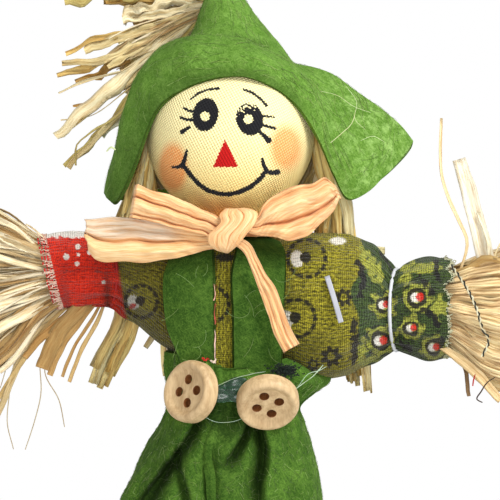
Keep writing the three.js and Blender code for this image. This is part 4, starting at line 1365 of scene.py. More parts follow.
def bow_loop(name, upper, lower, ridges, seed):
    """One loop of the bow: a front leaf that turns round at its end and comes back behind."""
    def bulge(s, t):
        return -16.9 - 1.3 * s - 1.3 * np.sin(t * math.pi) * s

    front, front_tone = pleated(upper, lower, bulge, ridges, seed)
    back, back_tone = pleated(upper, lower, lambda s, t: -14.8 + 0 * s * t, [(0.5, 0.5, -0.5, 0.1)], seed + 3)
    back[..., 2] = 229 + (back[..., 2] - 229) * 0.95
    end = (front[-1] + back[-1]) / 2
    end[:, 0] += 0.6 * np.sign(end[:, 0])
    points = np.concatenate([front, end[None], back[::-1]])
    # The back leaf is drawn darker: painted shade behind the front leaf.
    tone = np.concatenate([front_tone, front_tone[-1:], back_tone[::-1] * 0.8])
    ribbon(name, points, tinted(tone, DEEP, APRICOT), 50, 9)


def bow():
    """Two loops and two tails of crinkled raffia."""
    bow_loop(
        "bow_loop_left",
        [(-1.0, 228.6), (-1.8, 227.6), (-5.1, 228.8), (-9.8, 230.8), (-14.5, 232.8), (-19.8, 234.4),
         (-22.1, 235.5)],
        [(-3.6, 223.4), (-5.2, 223.0), (-6.5, 223.6), (-9.8, 224.4), (-14.5, 225.6), (-19.2, 226.7),
         (-23.4, 227.6)],
        [(0.2, 0.16, 0.5, 0.1), (0.42, 0.4, -1.6, 0.045), (0.62, 0.6, 0.5, 0.1), (0.84, 0.9, -1.2, 0.05)], 71,
    )
    bow_loop(
        "bow_loop_right",
        [(2.0, 228.4), (6.0, 228.0), (7.5, 230.7), (10.2, 233.0), (14.2, 235.0), (18.9, 235.8),
         (22.2, 237.0), (23.8, 235.4)],
        [(1.6, 224.6), (4.2, 224.0), (10.2, 223.0), (14.2, 222.4), (16.9, 223.0), (21.5, 226.7),
         (24.5, 230.2), (25.2, 232.0)],
        [(0.55, 0.7, -1.3, 0.05), (0.3, 0.38, 0.8, 0.12), (0.14, 0.1, -0.6, 0.05), (0.82, 0.86, 0.5, 0.09)],
        77,
    )

    def hollow(s, t):
        return -15.3 + 1.0 * s - 1.5 * np.sin(np.clip((t - 0.5) * 2, 0, 1) * math.pi) * ease(0.1, 0.5, s)

    points, tone = pleated(
        [(-3.0, 223.8), (-10.0, 225.2), (-17.0, 226.8), (-24.0, 227.7), (-30.0, 227.6), (-34.8, 227.2)],
        [(-3.0, 220.2), (-5.2, 220.2), (-9.8, 219.0), (-16.5, 217.6), (-24.5, 217.2), (-32.5, 218.2),
         (-34.0, 220.2)],
        hollow,
        [(0.55, 0.5, -1.0, 0.045), (0.3, 0.22, -0.35, 0.05), (0.8, 0.74, 0.3, 0.06), (0.1, 0.1, 0.3, 0.08)],
        83,
    )
    points[-1, :, 0] += 0.5 * np.sin(np.linspace(0, 9, tone.shape[1]))
    s, t = np.linspace(0, 1, tone.shape[0])[:, None], np.linspace(0, 1, tone.shape[1])[None]
    thin = (ease(0.55, 0.42, t) * ease(0.2, 0.45, s))[..., None]
    body, sheer = (tinted(tone, *pair) for pair in TAIL)
    tint = body * (1 - thin) + thin * sheer
    ribbon("bow_tail_left", points, tint, 32, 9)
    points, tone = pleated(
        [(0.6, 223.2), (3.5, 222.0), (6.2, 218.0), (8.2, 214.0), (10.2, 211.3), (12.0, 206.4),
         (13.9, 201.4), (15.9, 198.0)],
        [(-0.6, 221.6), (0.9, 221.0), (2.9, 219.3), (4.9, 214.7), (6.9, 209.3), (8.6, 204.6), (9.9, 200.6),
         (12.3, 195.7)],
        lambda s, t: -17.9 + 1.6 * s + 0.4 * t,
        [(0.2, 0.2, 0.4, 0.06), (0.36, 0.36, -0.5, 0.05), (0.54, 0.54, 0.4, 0.06), (0.7, 0.7, -0.4, 0.05),
         (0.86, 0.86, 0.4, 0.06)],
        91, crumple=0.08,
    )
    ribbon("bow_tail_right", points, tinted(tone, DEEP, APRICOT), 30, 5)


def knot():
    """The knot: a short band pulled round the ribbons, from the upper right down to the left."""
    points, tone = pleated(
        [(-1.4, 229.6), (-2.8, 228.0), (-2.4, 226.8), (-3.8, 225.0), (-5.5, 223.3), (-5.2, 221.6),
         (-3.6, 219.9), (-2.0, 219.6)],
        [(3.0, 229.8), (6.0, 228.5), (5.5, 226.7), (4.4, 225.0), (3.4, 223.7), (2.0, 221.8), (0.6, 220.6),
         (-1.0, 219.4)],
        lambda s, t: -15.4 - 4.4 * np.sin(s * math.pi) ** 0.5 - 1.1 * np.sin(t * math.pi) ** 0.7,
        [(0.28, 0.2, -0.3, 0.03), (0.62, 0.56, -0.4, 0.03), (0.84, 0.84, -0.25, 0.03)],
        97, crumple=0.06, creased=0.4,
    )
    back = points[::-1].copy()
    back[..., 1] = -14.6
    whole = np.concatenate([points, back])
    tones = np.concatenate([tone, tone[::-1]])
    ribbon("bow_knot", whole, tinted(tones, (DEEP + APRICOT) / 2, APRICOT), 30, 6, 0.25)


def neck_band():
    """The bow's ribbon where it runs round the neck."""
    rows, columns = 120, 14
    angle = np.linspace(0, TURN, rows, endpoint=False)[:, None]
    t = np.linspace(0, 1, columns)[None]
    radius = 9.6 + 0.5 * np.cos(11 * angle) + 0.4 * np.cos(TURN * 3 * t)
    points = np.stack([radius * np.sin(angle), -radius * np.cos(angle), 223.4 + 3.6 * t + 0 * angle], -1)
    points = points.transpose(1, 0, 2)
    tone = np.clip(0.5 + waves(points, 2, 99) * 0.5, 0, 1)
    uv = cloth_uv(np.linspace(0, 4, columns), np.linspace(0, 60, rows + 1))
    fields = {"tint": tinted(tone, DEEP, APRICOT)}
    item = grid("bow_neck_raffia", points, BOW, uv, wrap=True, thickness=0.3, fields=fields)
    fit(item, ["bow_neck_band"], "torso")


# ---- raffia: hair, tuft, hands and feet ----------------------------------------------------------

STRAW = [(238, 224, 184), (226, 206, 160), (210, 184, 134), (192, 160, 106), (244, 234, 204), (216, 196, 150)]
LEAF = [(240, 218, 164), (222, 192, 132), (204, 170, 108), (246, 230, 188), (230, 206, 152)]
GOLD = [(232, 218, 158), (216, 194, 126), (196, 162, 88), (242, 232, 190), (222, 206, 150)]
# HAIR is lighter than the other raffia: painted light for the light that shines through thin strands hanging
# in shade.
HAIR = [(255, 240, 172), (250, 228, 150), (238, 210, 128), (255, 246, 192), (228, 194, 110)]
BROWN = [(176, 142, 86), (158, 122, 70), (190, 160, 104)]


def strand(bundle, points, width, colour, count=26, **more):
    """One strand through given (x, y, z) points, cut square at its free end."""
    line = route(points, count)
    share = np.linspace(0, 1, count)
    bundle.add(line, width * value([(0, 0.7), (0.3, 1), (0.8, 1.05), (1, 0.9)], share), srgb(*colour), **more)


def fan(bundle, rng, count, upper, lower, depth, widths, colours, jitter=0.6, reach=(0.72, 1.0), back=0.0):
    """Strands spread between an upper and a lower guide, given as (x, z) points, and through the depth.

    depth is how far they spread in front of and behind y = back, at their start and end. reach is the range
    for the share of the guides' length that they cover.
    """
    upper, lower = np.array(upper, float), np.array(lower, float)
    steps = len(upper)
    near_end = np.linspace(0.25, 1, steps)[:, None]
    for _ in range(count):
        u, v = rng.uniform(0, 1), rng.uniform(-1, 1)
        flat = upper + (lower - upper) * u
        round_off = math.sqrt(1 - 0.85 * (2 * u - 1) ** 2)
        room = round_off + (1 - round_off) * np.clip(np.linspace(-0.6, 1.4, steps), 0, 1)
        y = back + v * np.linspace(*depth, steps) * room
        points = np.column_stack([flat[:, 0], y, flat[:, 1]]) + rng.normal(0, jitter, (steps, 3)) * near_end
        line = route(points, 20)[: int(20 * rng.uniform(*reach))]
        share = np.linspace(0, 1, len(line))
        width = rng.uniform(*widths) * value([(0, 0.6), (0.4, 1), (0.9, 0.95), (1, 0.7)], share)
        colour = srgb(*colours[rng.integers(len(colours))]) * rng.uniform(0.85, 1.06)
        facing = (rng.normal(0, 0.45), -1, rng.normal(0, 0.45))
        fold, twist = rng.uniform(-0.1, 0.35), rng.normal(0, 0.6)
        bundle.add(line, width, colour, facing, fold=fold, twist=twist, rough=rng.uniform(0.3, 1.2))


def hair():
    """Raffia hair glued round the back of the head, which falls behind the arms."""
    rng = np.random.default_rng(201)
    locks = Strands()
    for _ in range(150):
        side = rng.uniform(-1.35, 1.35)
        up = np.linspace(0.75, -0.62, 9)
        radius = 20.9 + rng.uniform(0, 1.2)
        turn = side + rng.normal(0, 0.05, 9).cumsum() * 0.4
        line = HEAD + radius * np.column_stack([
            np.sin(turn) * np.cos(up), np.cos(turn) * np.cos(up), np.sin(up),
        ])
        colour = srgb(*GOLD[rng.integers(len(GOLD))]) * 0.8
        locks.add(line, rng.uniform(1.6, 3.2), colour, unit(line - HEAD).mean(0), fold=0.1)
    # (strands, outer guide, inner guide, how far back)
    falls = [
        (15, [(-20, 246), (-25, 234), (-28.6, 222), (-27.6, 204), (-33, 192), (-36.4, 184.4)],
         [(-17, 246), (-19, 234), (-22.4, 222), (-23, 203.4), (-28.6, 191.6), (-31, 183.2)], 14.6),
        (16, [(-13, 240), (-15, 225), (-16.8, 205), (-17, 192), (-16.4, 186.6)],
         [(-6, 240), (-8, 225), (-8, 205), (-9, 192), (-9, 186)], 16.2),
        (60, [(-12, 242), (-12, 225), (-11, 205), (-11, 190), (-11.5, 177)],
         [(12, 242), (12, 225), (11, 205), (11, 190), (12, 177)], 16.2),
        (16, [(20.6, 248), (28.4, 232), (30, 222), (32.4, 205), (33.6, 192), (34.6, 182)],
         [(15, 248), (19.4, 232), (20.4, 222), (23, 205), (27.6, 192), (28.6, 184.6)], 14.6),
    ]
    for count, outer, inner, depth in falls:
        fan(locks, rng, count, outer, inner, (2.6, 1.4), (1.2, 2.8), HAIR, 0.5, (0.9, 1.0), back=depth)
    fan(locks, rng, 26, [(-20.6, 250), (-22.4, 243), (-24.0, 236), (-27.4, 226)],
        [(-18, 250), (-19.0, 243), (-19.6, 236), (-19, 226)],
        (1.0, 1.4), (0.8, 1.8), HAIR, 0.3, (0.9, 1.0), back=1.5)
    fan(locks, rng, 24, [(22.2, 248), (24.4, 240), (27.4, 231), (29.4, 221)],
        [(19.4, 248), (20.6, 240), (22.4, 232), (21.4, 221)],
        (1.0, 1.4), (1.0, 2.2), HAIR, 0.3, (0.9, 1.0), back=0.5)
    strand(locks, [(22.4, 3, 243), (24.4, 5.6, 231), (25.2, 9.4, 219)], 8.6, (250, 238, 190), fold=0.05)
    strand(locks, [(29, 14, 219.6), (33, 14.2, 219.8), (37.2, 14, 219.8)], 2.0, (240, 230, 176), fold=0.05)
    strand(locks, [(-17.0, 14, 204), (-19.0, 14.4, 199.6), (-21.2, 14, 196.2)],
           1.4, (240, 226, 176), fold=0.05)
    item = locks.piece("raffia_hair", RAFFIA)
    nodes = ["hair_cap", "hair_fall_left", "hair_fall_back", "hair_fall_right"]
    fit(item, nodes)


def tuft():
    """The tuft tied behind the hat's tip, which fans out to the left."""
    rng = np.random.default_rng(211)
    leaves = Strands()
    root = (-4, 15, 281)
    pale, straw, gold = (242, 230, 190), (228, 210, 156), (214, 182, 108)
    brown, olive = (178, 140, 70), (208, 192, 118)
    # (points after the root, width, colour)
    placed = [
        ([(-14, 15, 284.4), (-28, 16, 283.2), (-41, 17, 280.6)], 3.4, olive),
        ([(-12, 14, 281), (-20, 14, 279.2), (-26.8, 14, 276.6)], 3.8, pale),
        ([(-12, 13.6, 279), (-20, 13.4, 277), (-26.6, 13.4, 275.4)], 1.8, pale),
        ([(-14, 15, 277.4), (-25, 15, 273.6), (-33, 15.6, 270.8), (-40.8, 16, 268.3)], 1.5, gold),
        ([(-14, 14, 276.0), (-24, 14, 272.0), (-30, 14.4, 270.0), (-36, 15, 268.6)], 2.2, straw),
        ([(-14, 14, 274.6), (-26, 14, 269.4), (-34, 14.6, 267.0), (-41.6, 15, 265.4)], 1.5, straw),
        ([(-14, 16, 273.8), (-26, 16, 268.0), (-35, 16.4, 264.4), (-42.8, 16.4, 262.4)], 1.9, gold),
        ([(-14, 16, 272.6), (-26, 16, 266.6), (-33, 16, 263.8), (-38.4, 16, 261.2)], 1.9, brown),
        ([(-14, 13.6, 272.8), (-20, 13.4, 268.6), (-26, 13.4, 266.6), (-30.4, 13.4, 264.6)], 1.8, straw),
        ([(-16, 15, 271), (-24, 15, 264.4), (-31, 15, 262.2), (-37, 15, 260.6), (-42.4, 15, 258.2)],
         0.7, pale),
        ([(-14, 14, 273), (-24, 14, 264.6), (-30, 14, 259.0), (-36, 14, 253.4), (-43.2, 14, 247.8)],
         2.5, pale),
        ([(-16, 15, 271), (-25, 15, 261.6), (-31, 15, 256.4), (-37, 15, 251.2), (-42.0, 15, 247.2)],
         2.0, straw),
        ([(-16, 14, 268), (-22, 15, 260.6), (-27, 16, 254.0), (-31, 16, 249.8), (-36, 16, 245.0),
          (-41, 16, 240.4)], 1.7, olive),
        ([(-15, 14, 268), (-22, 15, 258.6), (-28, 15, 253.4), (-32, 15, 249.4), (-36.4, 15, 244.6),
          (-39.8, 15, 239.8)], 1.3, straw),
        ([(-18, 15, 264), (-24, 15, 257), (-29, 14, 251.6), (-34.6, 14, 248.8), (-37.4, 14, 245.8),
          (-38.1, 14, 240.6)], 0.5, olive),
        ([(-18, 16, 262), (-26, 16, 253), (-32, 16.4, 248)], 2.2, (222, 218, 196)),
        ([(-26, 17, 260), (-33, 17, 257), (-39, 17, 255.2)], 1.3, brown),
        ([(-26, 17, 258), (-35, 17, 252.6), (-42, 17, 251.8)], 0.35, straw),
    ]
    for points, width, colour in placed:
        bend = rng.normal(0, 0.35, (len(points), 3))
        bend[-1] = 0
        strand(leaves, [root, *(np.array(points) + bend)], width, colour, 34, fold=rng.uniform(0.05, 0.3),
               twist=rng.normal(0, 0.3), rough=1.4)
    fan(leaves, rng, 60, [(-3, 282), (-16, 278.6), (-25, 274.6), (-32, 271.6)],
        [(-3, 277), (-13, 269.6), (-20.5, 262.6), (-27, 256)],
        (0.8, 3.4), (0.7, 2.2), GOLD, 0.8, (0.6, 1.0), back=16.6)
    fan(leaves, rng, 50, [(-3, 282), (-15, 278.0), (-25, 273.6), (-34, 269.6)],
        [(-3, 277), (-14, 271.6), (-22.5, 264.6), (-31, 258)],
        (0.8, 3.4), (0.2, 0.6), STRAW, 1.2, (0.6, 1.0), back=14.6)
    fan(leaves, rng, 16, [(-6, 278), (-16, 268), (-21, 262.6), (-27, 256)],
        [(-6, 276), (-13, 264), (-18, 257), (-23, 250)],
        (0.8, 2.0), (1.0, 2.2), GOLD, 0.4, (0.6, 1.0), back=16.6)
    fan(leaves, rng, 14, [(-3, 283), (-10, 284.6), (-20, 284), (-34, 282.6)],
        [(-3, 281), (-10, 281), (-20, 280.6), (-34, 280)],
        (0.8, 2.0), (1.4, 2.6), GOLD, 0.4, (0.8, 1.0), back=16.0)
    fit(leaves.piece("raffia_tuft", RAFFIA), ["tuft_straw"], "head")
    circle = turned([(1, 0)], 50)[0]
    ring = circle * (4.2, 2.6, 0) + circle[:, :1] * (0, 0, -1.8) + (-2.9, 13.2, 282.6)
    tie("thread_tuft", "tuft_tie", ring, 0.4, THREAD, "head")


def hand_left():
    """A dense fan of straw out of the red cuff, and browner bands that hang under it."""
    rng = np.random.default_rng(221)
    straw = Strands()
    fan(straw, rng, 330, [(-34, 217.6), (-43, 220.6), (-56, 228.4), (-72, 234.5)],
        [(-34, 210.4), (-43, 207.6), (-56, 196.6), (-71, 186)], (4.0, 11.5), (0.5, 1.8), STRAW, 0.7)
    fan(straw, rng, 130, [(-34, 217.6), (-43, 221.0), (-55, 229.4), (-70, 236.0)],
        [(-34, 210.4), (-43, 207.2), (-55, 195.0), (-69, 182)], (4.0, 12.0), (0.3, 0.8), STRAW + BROWN, 1.0)
    fan(straw, rng, 36, [(-34, 211), (-43, 208.0), (-55, 199.4), (-68, 191)],
        [(-34, 210), (-43, 206.6), (-53, 194.4), (-64, 184)], (3.0, 9.0), (1.2, 2.4), STRAW + BROWN, 0.6)
    fan(straw, rng, 70, [(-34, 217.0), (-43, 219.6), (-56, 226.0), (-70, 231.0)],
        [(-34, 211.0), (-43, 208.6), (-56, 200.0), (-69, 192)],
        (1.6, 7.0), (3.0, 5.0), STRAW[:2] + STRAW[4:], 0.4, (0.8, 0.95))
    bands = [
        ([(-33, -2, 209), (-37.4, -3.4, 204.8), (-43.0, -4, 197.6), (-45.2, -4, 191.6)], 3.6, (172, 138, 80)),
        ([(-31.6, -1, 209), (-35.0, -2.4, 204.8), (-40.8, -3, 196.8), (-43.6, -3, 190.0)],
         1.6, (186, 150, 90)),
        ([(-30.6, 0, 209), (-33.2, -1.4, 204.0), (-38.0, -2, 196.4), (-40.6, -2, 189.6)],
         0.8, (178, 142, 84)),
        ([(-30.0, 0, 209), (-32.0, -1, 203.6), (-36.4, -2, 195.4), (-39.0, -2, 188.4)], 1.0, (198, 168, 110)),
        ([(-36.0, -2, 209), (-40.0, -3, 204), (-46.6, -4, 198.0), (-49.4, -4, 194.2)], 1.8, (176, 136, 74)),
        ([(-39, -2, 207), (-44, -3, 202), (-51, -4, 192.0), (-55.8, -4, 184.4)], 1.2, (190, 164, 108)),
        ([(-40, -2, 207), (-47, -3, 200), (-53, -4, 188.0), (-56.0, -4, 180.6)], 1.6, (200, 180, 134)),
    ]
    for points, width, colour in bands:
        strand(straw, points, width, colour, fold=0.08, rough=0.35)
    threads = [
        [(-44, -3, 203), (-49, -4, 200), (-52.3, -4, 192), (-53.3, -4, 184.7), (-53.7, -4, 178.7),
         (-52.2, -4, 172.4)],
        [(-43, -3, 202), (-45.7, -4, 194.7), (-45.7, -4, 185.3), (-47.3, -4, 178.7), (-49.4, -4, 172.3)],
        [(-42, -3, 200), (-44.7, -4, 190.7), (-41.3, -4, 184), (-40, -4, 177.7)],
        [(-49, -4, 202), (-52.4, -4, 196), (-55.4, -4, 187)],
    ]
    for points in threads:
        strand(straw, points, 0.22, (176, 160, 124), fold=0)
    for points, width in [
        ([(-44, -4, 219), (-52, -7, 225.4), (-60, -8, 229.4), (-70, -9, 233.4)], 1.3),
        ([(-44, -5, 217), (-54, -8, 222.6), (-66, -10, 227.6)], 1.7),
        ([(-44, -6, 215), (-55, -9, 218.0), (-70, -11, 221.0)], 1.5),
        ([(-44, -6, 213), (-55, -9, 213.6), (-71, -11, 214.0)], 1.2),
        ([(-44, -5, 210), (-55, -9, 207.0), (-69, -11, 203.0)], 2.0),
        ([(-43, -4, 208), (-54, -9, 202.0), (-67, -11, 195.0)], 2.4),
        ([(-44, -4, 222), (-47.6, -5, 225.2), (-49.2, -5, 226.2)], 0.4),
    ]:
        strand(straw, points, width, (244, 232, 196), fold=0.2, rough=0.8)
    fit(straw.piece("raffia_hand_left", RAFFIA), ["hand_straw_left"], "left_arm")


def leaf(name, upper, lower, depth, seed, body):
    """A broad crumpled leaf between two edges."""
    rng = np.random.default_rng(seed)
    ridges = [
        (at, at + rng.normal(0, 0.05), rng.choice([-1, 1]) * rng.uniform(0.4, 0.9), rng.uniform(0.025, 0.06))
        for at in np.linspace(0.06, 0.94, 8)
    ]
    points, tone = pleated(upper, lower, depth, ridges, seed, crumple=0.42)
    ragged = np.linspace(0, 1, len(points))[:, None] ** 6 * 1.2
    points[..., 0] += waves(points[..., [1, 2]], 1.6, seed + 3) * ragged
    tint = tinted(tone, srgb(160, 114, 64), srgb(250, 230, 180))
    item = grid(name, points, RAFFIA, ribbon_uv(*tone.shape, 30, 8), thickness=0.15, fields={"tint": tint})
    fit(item, [], body)


def hand_right():
    """Broad crumpled leaves out of the printed cuff, with a few pale ones that stand up."""
    rng = np.random.default_rng(231)
    leaves = Strands()
    fan(leaves, rng, 150, [(42, 210), (52, 213.0), (62, 216), (79, 219)],
        [(42, 202), (52, 199), (62, 191.4), (78, 185)], (2.0, 6.5), (0.8, 2.0), LEAF, 0.6, (0.5, 0.85))
    fan(leaves, rng, 130, [(42, 211), (52, 214.6), (62, 218), (79, 221)],
        [(42, 201), (52, 198), (62, 189.4), (78, 183)], (5.0, 12.0), (1.8, 4.0), LEAF, 0.7)
    fan(leaves, rng, 90, [(42, 211), (52, 214.6), (60, 217), (74, 221)],
        [(42, 201), (52, 198), (60, 189.4), (74, 183)], (5.0, 12.6), (0.4, 1.5), LEAF, 0.9)
    for points, width, colour in [
        ([(50, -4, 208), (55.1, -6, 217), (56, -7, 222.4), (54.2, -7, 226.6), (51.7, -7, 232.1),
          (49.9, -7, 238), (49.6, -7, 243), (49.8, -7, 251.4)], 0.75, (238, 216, 168)),
        ([(52, -3, 207), (60.6, -5, 216), (59.4, -6, 222), (56.8, -6, 232), (53.9, -6, 241.6)],
         3.6, (246, 240, 218)),
        ([(52, -3, 207), (60.9, -6, 215), (61.4, -7, 220), (58.6, -7, 229)], 1.2, (236, 232, 206)),
        ([(52, -3, 207), (62.2, -6, 215), (62.6, -6, 218.4), (64.6, -6, 222.6), (70, -6, 231)],
         0.4, (238, 226, 186)),
        ([(53, 0, 207), (66, -2, 219), (70, -3, 226), (71.5, -3, 236)], 1.4, (240, 226, 186)),
        ([(50, -6, 197), (56, -8, 192.6), (64, -9.6, 184.4)], 2.2, (222, 196, 146)),
        ([(51.5, -5, 197), (54.9, -7, 193.2), (56.4, -7.6, 185.2)], 1.0, (122, 96, 60)),
    ]:
        strand(leaves, points, width, colour, fold=0.18, rough=0.3)
    fit(leaves.piece("raffia_hand_right", RAFFIA), ["hand_straw_right"], "right_arm")
    high = np.array([(45.5, 211.6), (52, 214.0), (60, 217.0), (68, 219.2), (76.5, 221)])
    low = np.array([(45.5, 201.2), (52, 198.0), (60, 191.0), (68, 187.0), (76.5, 183.6)])
    # Seven broad leaves in front overlap from the top down. They lie nearest in the middle, every other one
    # is a little nearer, and every third one is shorter.
    for i in range(7):
        start, end = i / 7, (i + 1.35) / 7
        near = 5.8 * math.sqrt(1 - 0.75 * (start + end - 1) ** 2) + (i % 2) * 0.8
        count = 5 if i % 3 else 4
        edges = [(high + (low - high) * share)[:count] for share in (start, min(end, 1.02))]

        def curve(s, t, near=near):
            return -near - 6.2 * s - 1.0 * np.sin(t * math.pi)

        leaf(f"raffia_leaf_right_{i + 1}", *edges, curve, 251 + i, "right_arm")
    threads = Strands()
    path = route([
        (51.9, -10.4, 216.5), (55, -13.4, 212), (57.1, -14.2, 208), (58.2, -14.4, 205.1),
        (59.3, -14.4, 201.2), (60.7, -14.0, 199), (59.2, -13.4, 194.8),
    ], 60)
    turn = np.linspace(0, 9 * TURN, 60)[:, None]
    twist = np.column_stack([np.cos(turn), np.zeros(60), np.sin(turn)]) * 0.24
    threads.add(path + twist, 0.36, srgb(30, 34, 28), thick=0.3, fold=0)
    threads.add(path - twist, 0.36, srgb(214, 210, 180), thick=0.3, fold=0)
    for points, colour in [
        ([(57.6, -12.6, 190.6), (57.2, -12.6, 189.2), (57.0, -12.6, 187.8)], (170, 30, 24)),
        ([(62.3, -12.6, 189.9), (60.4, -12.6, 188.6), (59, -12.6, 186.5), (58, -12.6, 184.7),
          (59.3, -12.6, 183.9)], (60, 44, 30)),
    ]:
        strand(threads, points, 0.3, colour, thick=0.2, fold=0)
    fit(threads.piece("loose_threads_right", FIBRE), [], "right_arm")


def feet():
    """A bunch of straw out of each trouser leg."""
    for side, leg in ((-1, "left"), (1, "right")):
        rng = np.random.default_rng(241 + side)
        straw = Strands()
        for _ in range(110):
            turn, spread = rng.uniform(0, TURN), rng.uniform(0, 1) ** 0.5
            way = np.array([math.cos(turn), math.sin(turn)])
            heights = np.linspace(112, rng.uniform(80.4, 84), 9)
            radius = spline([(80, 8.6), (92, 7.2), (103, 6.2), (112, 6.0)], heights)[:, 0] * spread
            line = np.column_stack([14 * side + way[0] * radius, way[1] * radius, heights])
            line += rng.normal(0, 0.25, (9, 3)).cumsum(0) * (0.6, 0.6, 0)
            colour = srgb(*STRAW[rng.integers(len(STRAW))]) * rng.uniform(0.85, 1.05)
            straw.add(line, rng.uniform(1.0, 2.2), colour, (way[0], way[1], 0), twist=rng.normal(0, 0.5))
        item = straw.piece("raffia_foot_" + leg, RAFFIA)
        fit(item, ["foot_straw_" + leg], leg + "_leg")


# ---- small trim ----------------------------------------------------------------------------------

def glue():
    """Hot glue: a clear bead between the buttons, a painted highlight on it, drawn strings and fluff, and the
    end of a tag fastener.
    """
    m = Surface("hot_glue", Roughness=0.2, Transmission_Weight=0.85, IOR=1.4, Base_Color=srgb(84, 132, 100))
    polar = np.linspace(0, math.pi, 40)
    ball = turned(np.column_stack([np.sin(polar), np.cos(polar)]), 80)
    bead = ball * (4.4, 0.6, 2.9)
    bead = bead + ball * (waves(bead * (1, 1, 1.4), 2.4, 304) * 0.6)[..., None] * (1, 0.4, 1)
    bead[..., 2] += bead[..., 0] * 0.18
    item = grid("clear_glue", bead + (-0.2, -15.8, 186.6), m.material, wrap=True, weld=True)
    fit(item, ["glue_bead"], "torso")
    strings = Strands()
    for points, width in [
        # The first string is a painted highlight: a pale line along the top of the bead.
        ([(-3.4, -16.6, 188.0), (0.2, -17.0, 189.6), (3.6, -17.2, 190.6), (8.0, -17.4, 191.4)], 0.16),
        ([(14.6, -17.6, 187.0), (17.2, -16.0, 188.8), (19.4, -14.6, 190.4), (21.6, -13.4, 192.8)], 0.2),
        ([(15.6, -17.0, 187.8), (18.2, -15.0, 190.8), (20.8, -13.8, 191.6), (22.4, -13.4, 192.4)], 0.12),
        ([(-7.8, -17.0, 181.6), (-3.8, -16.2, 179.5), (0.4, -16.4, 179.6), (3.2, -16.8, 180.6)], 0.1),
    ]:
        strand(strings, points, width, (178, 204, 180), thick=0.1, fold=0, rough=1.0)
    rng = np.random.default_rng(303)
    for _ in range(260):
        start = np.array([12.6, -15.2, 191.4]) + rng.normal(0, 1, 3) * (1.5, 0.3, 0.8)
        curl = start + rng.normal(0, 0.22, (6, 3)).cumsum(0) * (1, 0.3, 0.6)
        strings.add(curl, 0.2, srgb(10, 26, 16) * rng.uniform(0.6, 1.8), thick=0.15, fold=0)
    for points, width, colour in [
        ([(-4.2, -13.9, 212.0), (-4.0, -14.0, 209.6), (-4.1, -14.0, 208.0)], 0.2, (226, 176, 150)),
        ([(-3.9, -13.9, 207.4), (-4.1, -14.0, 204.6), (-3.9, -14.0, 202.4)], 0.16, (206, 96, 80)),
        ([(-4.1, -13.9, 201.6), (-3.9, -14.0, 199.6), (-4.0, -14.2, 198.0), (-3.9, -14.4, 193.2)],
         0.2, (232, 196, 176)),
        ([(-7.0, -14.4, 194.6), (-6.2, -14.6, 194.0), (-5.4, -14.6, 194.4)], 0.5, (206, 48, 30)),
        ([(-5.2, -14.6, 194.0), (-4.2, -14.8, 193.6), (-3.8, -14.8, 194.4)], 0.4, (236, 222, 206)),
    ]:
        strand(strings, points, width, colour, thick=0.2, fold=0, rough=1.5)
    fit(strings.piece("glue_strings", FIBRE), [], "torso")
    bar = Strands()
    line = route([(22.5, -13.2, 213.8), (24.2, -14.2, 208.4), (25.8, -14.0, 202.9)], 12)
    bar.add(line, 1.25, (1, 1, 1), thick=0.5, fold=0)
    fit(bar.piece("plastic_bar", TAG), ["tag_bar"], "right_arm")


def stray_fibres():
    """Pale wool and glue fibres that lie on the felt."""
    rng = np.random.default_rng(311)
    hairs = Strands()
    # (x range, z range, y in front of the cloth, how many)
    for across, up, y, count in [((-14, -5), (196, 214), -14.1, 7), ((1.5, 11), (196, 216), -14.2, 9)]:
        for _ in range(count):
            start = np.array([rng.uniform(*across), y, rng.uniform(*up)])
            way = rng.uniform(0, TURN)
            steps = np.linspace(0, rng.uniform(2.5, 6), 9)
            angle = way + steps * rng.normal(0, 0.25)
            path = start + np.column_stack([np.cos(angle), 0 * angle, np.sin(angle)]) * steps[:, None]
            hairs.add(path, 0.08, srgb(120, 150, 84), thick=0.08, fold=0)
    fit(hairs.piece("stray_fibres", FIBRE), [], "torso")
    long = Strands()
    for points, width in [
        ([(29.4, -12.2, 253.4), (28.4, -12.4, 250.0), (26.0, -12.6, 247.6), (23.4, -12.6, 245.4)], 0.16),
        ([(21.0, -12.6, 257.6), (25.0, -11.6, 256.6), (29.0, -10.8, 254.0), (33.0, -9.6, 252.6)], 0.08),
        ([(27.0, -10.2, 259.0), (29.6, -10.6, 255.0), (29.2, -11.4, 251.0), (31.6, -10.6, 248.6)], 0.08),
        ([(30.6, -10.4, 246.0), (33.6, -9.2, 247.0), (36.4, -8.2, 245.6)], 0.08),
        ([(-29.8, -9.0, 243.4), (-28.6, -9.4, 244.4), (-27.6, -9.4, 243.8)], 0.4),
    ]:
        strand(long, points, width, (206, 222, 170), thick=0.08, fold=0)
    fit(long.piece("stray_hat_fibres", FIBRE), [], "head")


def neck_tie():
    """The thread that draws the head's cloth in at the neck."""
    tie("thread_neck", "neck_thread", turned([(7.4, 224.6)], 60)[0], 0.4, THREAD, "torso")


# ---- camera, light and floor ---------------------------------------------------------------------

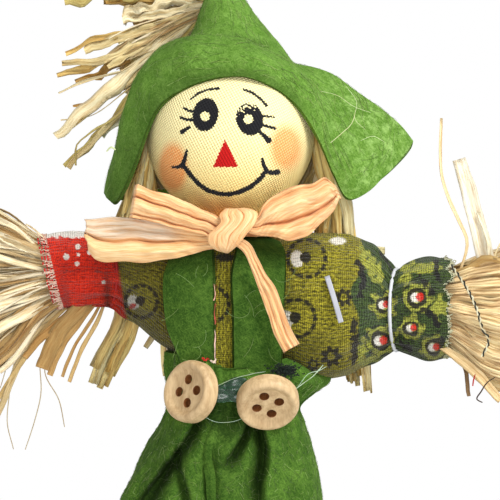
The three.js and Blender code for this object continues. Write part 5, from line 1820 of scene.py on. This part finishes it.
def studio():
    """A long lens level with the neck, a pale floor, and light from the upper right, the front and all round.

    The world is dimmer above, below and at the front left, which shades the cloth from that side.
    """
    scene = bpy.context.scene
    view = bpy.data.cameras.new("camera")
    # It takes in 120 mm of the figure's plane.
    view.lens, view.sensor_width = 36 * -CAMERA[1] / 120.0, 36
    view.clip_end = 20
    camera = bpy.data.objects.new("camera", view)
    camera.location = CAMERA * MM
    camera.rotation_euler = (math.radians(90), 0, 0)
    scene.collection.objects.link(camera)
    scene.camera = camera
    scene.view_settings.view_transform = "Standard"
    world = bpy.data.worlds.new("studio")
    world.use_nodes = True
    sky = Nodes(world.node_tree)
    way = sky.place("Generated")
    fade = sky.rise(sky.maths("ABSOLUTE", sky.axis(way, 2)), 0.5, 0.75, 1.0, 0.35)
    left = sky.fused(sky.axis(way, 0), -0.75, sky.times(sky.axis(way, 1), -0.66))
    dim = sky.rise(left, 0.3, 0.9, 1.0, 0.7)
    background = world.node_tree.nodes["Background"]
    sky.feed(background, "Strength", sky.times(fade, dim))
    sky.feed(background, "Color", (1, 1, 1))
    scene.world = world
    for name, place, size, power in [
        ("key", (330, -330, 620), 260, 3.8),
        ("front", (-60, -900, 300), 240, 1.8),
    ]:
        lamp = bpy.data.lights.new(name, "AREA")
        lamp.size, lamp.energy = size * MM, power
        light = bpy.data.objects.new(name, lamp)
        light.location = np.array(place) * MM
        aim = bpy.data.objects.new(name + "_aim", None)
        aim.location = np.array([0, 0, 215]) * MM
        scene.collection.objects.link(aim)
        track = light.constraints.new("TRACK_TO")
        track.target, track.track_axis, track.up_axis = aim, "TRACK_NEGATIVE_Z", "UP_Y"
        scene.collection.objects.link(light)
    ground = plain("floor", (252, 252, 252), 0.9, spread=0.0)
    edge = turned([(FLOOR_REACH, 0)], 96)[0]
    build("floor", edge, [list(range(96))], ground)


studio()
head()
hat()
shirt()
brace("felt_brace_left", BRACE_LEFT, "brace_left")
brace("felt_brace_right", BRACE_RIGHT, "brace_right")
sleeve_right()
sleeve_left()
trousers()
button("button_left_wood", "button_left", (-8.4, -13.0, 186.2), -10, 42, 5, 101)
button("button_right_wood", "button_right", (8.4, -15.4, 185.3), 37, -3, 20, 102)
stake()
bow()
knot()
neck_band()
hair()
tuft()
hand_left()
hand_right()
feet()
glue()
stray_fibres()
neck_tie()
